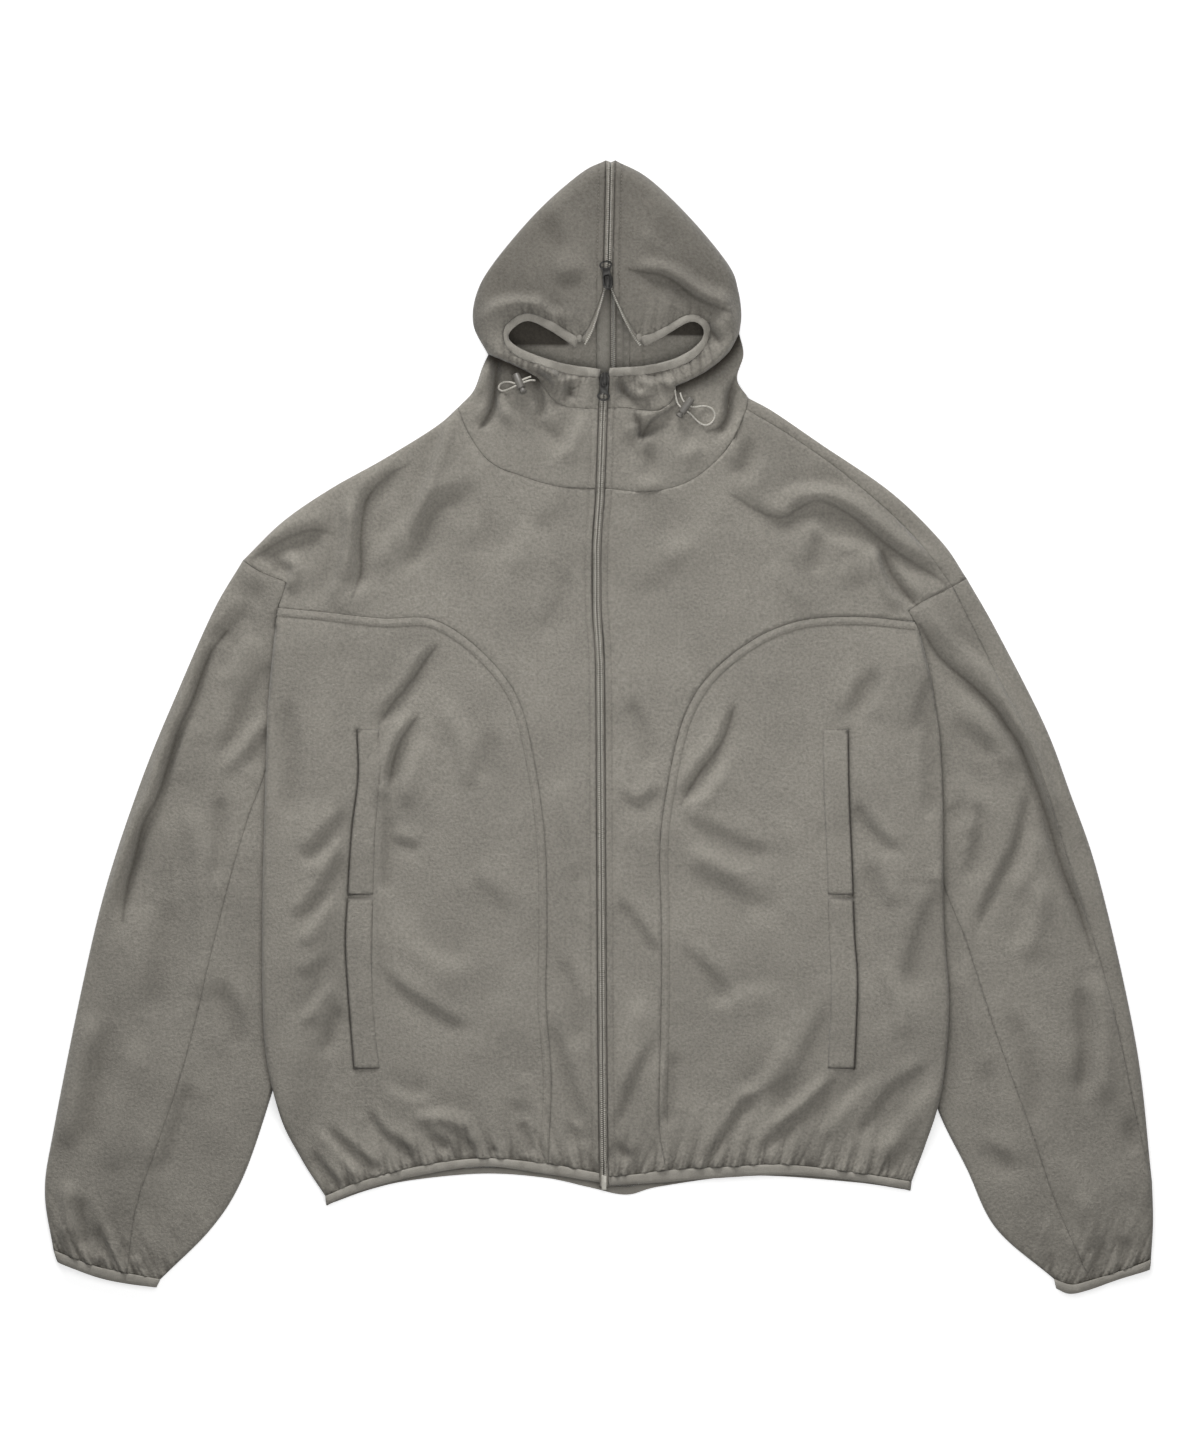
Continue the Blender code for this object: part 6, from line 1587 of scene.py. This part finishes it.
def line_between(path, low, high, step):
    """The chain's middle between two heights."""
    ys = np.arange(low, high, step)
    return np.array([(zip_x(y, path), y) for y in ys])


def chain(name, node, path, low, high, top):
    rows = [beside_line(line_between(path, low + shift * COIL_PITCH / 2, high, 3.0), side * COIL_REACH)
            for shift, side in ((0, -1), (1, 1))]
    piece = beads(name, [on_top(row, top, COIL_DROP) for row in rows], COIL_PITCH, COIL_LOOP, COIL)
    finish(piece, "zip_coil", node)


def groove(xy, line):
    """Painted shade on the tape where it lies deep, between the coil and the fleece, and between the rows.
    """
    gap, _ = nearest(xy, line)
    return np.where(gap > 6, 0.0, 0.8 * bell(gap - 3.9, 1.1) + 0.7 * bell(gap, 0.6))


FRONT_STOP = 326.5
HOOD_STOP = 420.5
chain("front_coil", "zip_chain_front", FRONT_ZIP, -427.0, FRONT_STOP, front_top)
chain("hood_coil", "zip_chain_hood", HOOD_ZIP, HOOD_STOP, 533.0, hood_top)
for side, end, sign in (("left", "_l", -1), ("right", "_r", 1)):
    middle = line_between(FRONT_ZIP, -438.0, 336.0, 4.0)
    near = beside_line(middle, -sign * 0.05)
    far = beside_line(middle, -sign * (ZIP_REACH - 0.15))
    loop = np.vstack([near, far[::-1]])
    loop = loop if signed_area(loop) > 0 else loop[::-1]
    cut_sheet("front_tape_" + side, loop,
              lambda xy: (front_top(xy) - TAPE_DROP, groove(xy, FRONT_LINE)), TAPE,
              "zip_tape_front_" + side, "zip_tape", TAPE_GRID, TAPE_WALL)
    loop, _ = outline(parts_of("zip_hood vee *cap_tape *-tape_hood *cap_crown", end))
    cut_sheet("hood_tape_" + side, loop,
              lambda xy: (hood_top(xy) - TAPE_DROP, groove(xy, HOOD_LINE)), TAPE,
              "zip_tape_hood_" + side, "zip_tape", TAPE_GRID, TAPE_WALL)
    free_rows = smooth_curve([beside_zip(sign, 417, HOOD_ZIP, 2.6), *CURVES["tape_hood" + end][4:-1],
                              CORNERS["tape_end" + end]], 2.0)
    coil = beads("free_coil_" + side, [on_top(beside_line(free_rows, sign * 1.0), hood_top, 0.8)],
                 COIL_PITCH, FREE_LOOP, COIL)
    finish(coil, "zip_coil")
    # where the tape and the face binding meet, their ends are folded into a small tab
    at = np.array([CORNERS["vee_end" + end]], float) + [(0, -0.5), (0, 0.5)]
    tab = beads("binding_tab_" + side, [on_top(at, hood_top, 0.9)], 4.0, TAB_SIZE, BINDING)
    finish(tab, "binding")

# The inside of the hood's back: the tapes and the chain lie flat on the fleece.
INSIDE_LEVEL = 2.0
INSIDE_LOW = 286.0
INSIDE_HIGH = 526.0


def inside_tape_shade(x):
    """Painted shade along the stitching and grooves of the inside tapes."""
    return sum(strength * bell(x - at, 0.9)
               for at, strength in ((-3.2, 0.5), (9.8, 0.9), (15.2, 0.9), (21.6, 0.6), (28.4, 0.5)))


for side, sign in (("left", -1), ("right", 1)):
    xs = sorted([BACK_ZIP_X + sign * 0.05, BACK_ZIP_X + sign * 16.0])
    loop = np.array([(xs[0], INSIDE_LOW), (xs[1], INSIDE_LOW), (xs[1], INSIDE_HIGH), (xs[0], INSIDE_HIGH)])
    cut_sheet("inside_tape_cloth_" + side, loop,
              lambda xy: (INSIDE_LEVEL + 0.9 + 0.15 * rough(xy, 14, 61.0), inside_tape_shade(xy[:, 0])), TAPE,
              "inside_tape_" + side, "zip_tape", 5.0, 0.8,
              [np.array([(x, y) for y in np.arange(INSIDE_LOW + 2.0, INSIDE_HIGH - 2.0, 3.0)])
               for x in (-2.6, 9.0, 9.9, 15.1, 16.0, 20.8, 22.0, 27.6)])
rows = []
for shift, sign in ((0, -1), (1, 1)):
    ys = np.arange(INSIDE_LOW + shift * COIL_PITCH / 2, INSIDE_HIGH, 3.0)
    rows.append(np.column_stack([np.full(len(ys), BACK_ZIP_X + sign * COIL_REACH), ys,
                                 np.full(len(ys), INSIDE_LEVEL + 1.4)]))
finish(beads("inside_coil", rows, COIL_PITCH, COIL_LOOP, COIL), "zip_coil", "inside_chain")

# ---- Sliders and pull tabs -----------------------------------------------------
# Cast zinc in a gunmetal finish.  The tab hangs in the bail and ends in an oval ring.
GUNMETAL, metal_tree, metal_shader, haze = grained(
    "gunmetal", (0.034, 0.033, 0.031), 0.34, (0.016, 0.0155, 0.0148), (0.044, 0.043, 0.041),
    320.0, 3.0, 0.00004, metallic=1.0)
metal_tree.links.new(add_node(metal_tree, "ShaderNodeMapRange", {"To Min": 0.27, "To Max": 0.48},
                              {"Value": haze}).outputs[0], metal_shader.inputs["Roughness"])


def softened(name, node, material, slot, body, radius):
    """A copy of a rigid part with its edges rounded over."""
    work = bmesh.new()
    work.from_mesh(bpy.data.objects[node].data)
    bmesh.ops.remove_doubles(work, verts=work.verts, dist=1e-6)
    bmesh.ops.dissolve_limit(work, angle_limit=math.radians(1.0), verts=work.verts, edges=work.edges)
    mesh = bpy.data.meshes.new(name)
    work.to_mesh(mesh)
    work.free()
    mesh.materials.clear()
    mesh.materials.append(material)
    mesh.shade_smooth()
    piece = bpy.data.objects.new(name, mesh)
    bpy.context.scene.collection.objects.link(piece)
    edge = piece.modifiers.new("rounded_edges", "BEVEL")
    edge.width = radius * MM
    edge.segments = 2
    edge.limit_method = "ANGLE"
    edge.angle_limit = math.radians(28)
    edge.harden_normals = True
    finish(piece, slot, node, body=body)


for place in ("front", "hood"):
    softened(place + "_slider_body", "slider_" + place, GUNMETAL, "gunmetal", BODY, 0.3)
    softened(place + "_pull_tab", "pull_" + place, GUNMETAL, "gunmetal", place + "_pull", 0.3)

# The box and pin that hold the zip's lower end together, moulded in the tape's colour.
BOX_PLASTIC, *_ = grained("zip_box_plastic", (0.5, 0.48, 0.42), 0.45, (0.44, 0.42, 0.37),
                          (0.56, 0.54, 0.48), 400.0)
softened("zip_box_moulding", "zip_box", BOX_PLASTIC, "zip_coil", BODY, 0.35)

# ---- Cord locks ----------------------------------------------------------------
# Moulded barrels with a sprung button, in a matt soft-touch plastic.
LOCK_PLASTIC, *_ = grained("lock_plastic", (0.12, 0.112, 0.098), 0.42, (0.1, 0.094, 0.083),
                           (0.14, 0.131, 0.115), 900.0, bump=0.00008)
for side in ("left", "right"):
    softened("cord_lock_" + side, "lock_barrel_" + side, LOCK_PLASTIC, "lock_plastic", BODY, 0.45)
    softened("cord_lock_button_" + side, "lock_button_" + side, LOCK_PLASTIC, "lock_plastic",
             side + "_button", 0.4)

# ---- Stitching -----------------------------------------------------------------
# Lockstitch in matching thread, 3 mm long, sunk a little into the nap.
THREAD, *_ = grained("thread", (0.27, 0.254, 0.22), 0.7, (0.22, 0.207, 0.18), (0.32, 0.3, 0.262),
                     1800.0, specular=0.3)
STITCH = (0.55, 2.3, 0.5)
STITCH_PITCH = 3.1
STITCH_DROP = 0.05


def sewn_on(line, top):
    return on_top(line, lambda xy: top(xy)[0], STITCH_DROP)


rows = []
for end, sign in (("_l", 1), ("_r", -1)):
    for offset in (1.4, 6.8):
        rows.append(sewn_on(beside_line(SEAM_LINES["yoke" + end], -sign * offset), SIDE_TOPS[end]))
    for path, low, high, tops in ((FRONT_ZIP, -422.0, 222.0, CENTRE_TOPS),
                                  (FRONT_ZIP, 229.0, 298.0, COLLAR_TOPS),
                                  (HOOD_ZIP, 424.0, 530.0, HOOD_TOPS)):
        line = line_between(path, low, high, 4.0)
        rows.append(sewn_on(beside_line(line, sign * PLACKET), tops[end]))
finish(beads("topstitching", rows, STITCH_PITCH, STITCH, THREAD), "fleece")
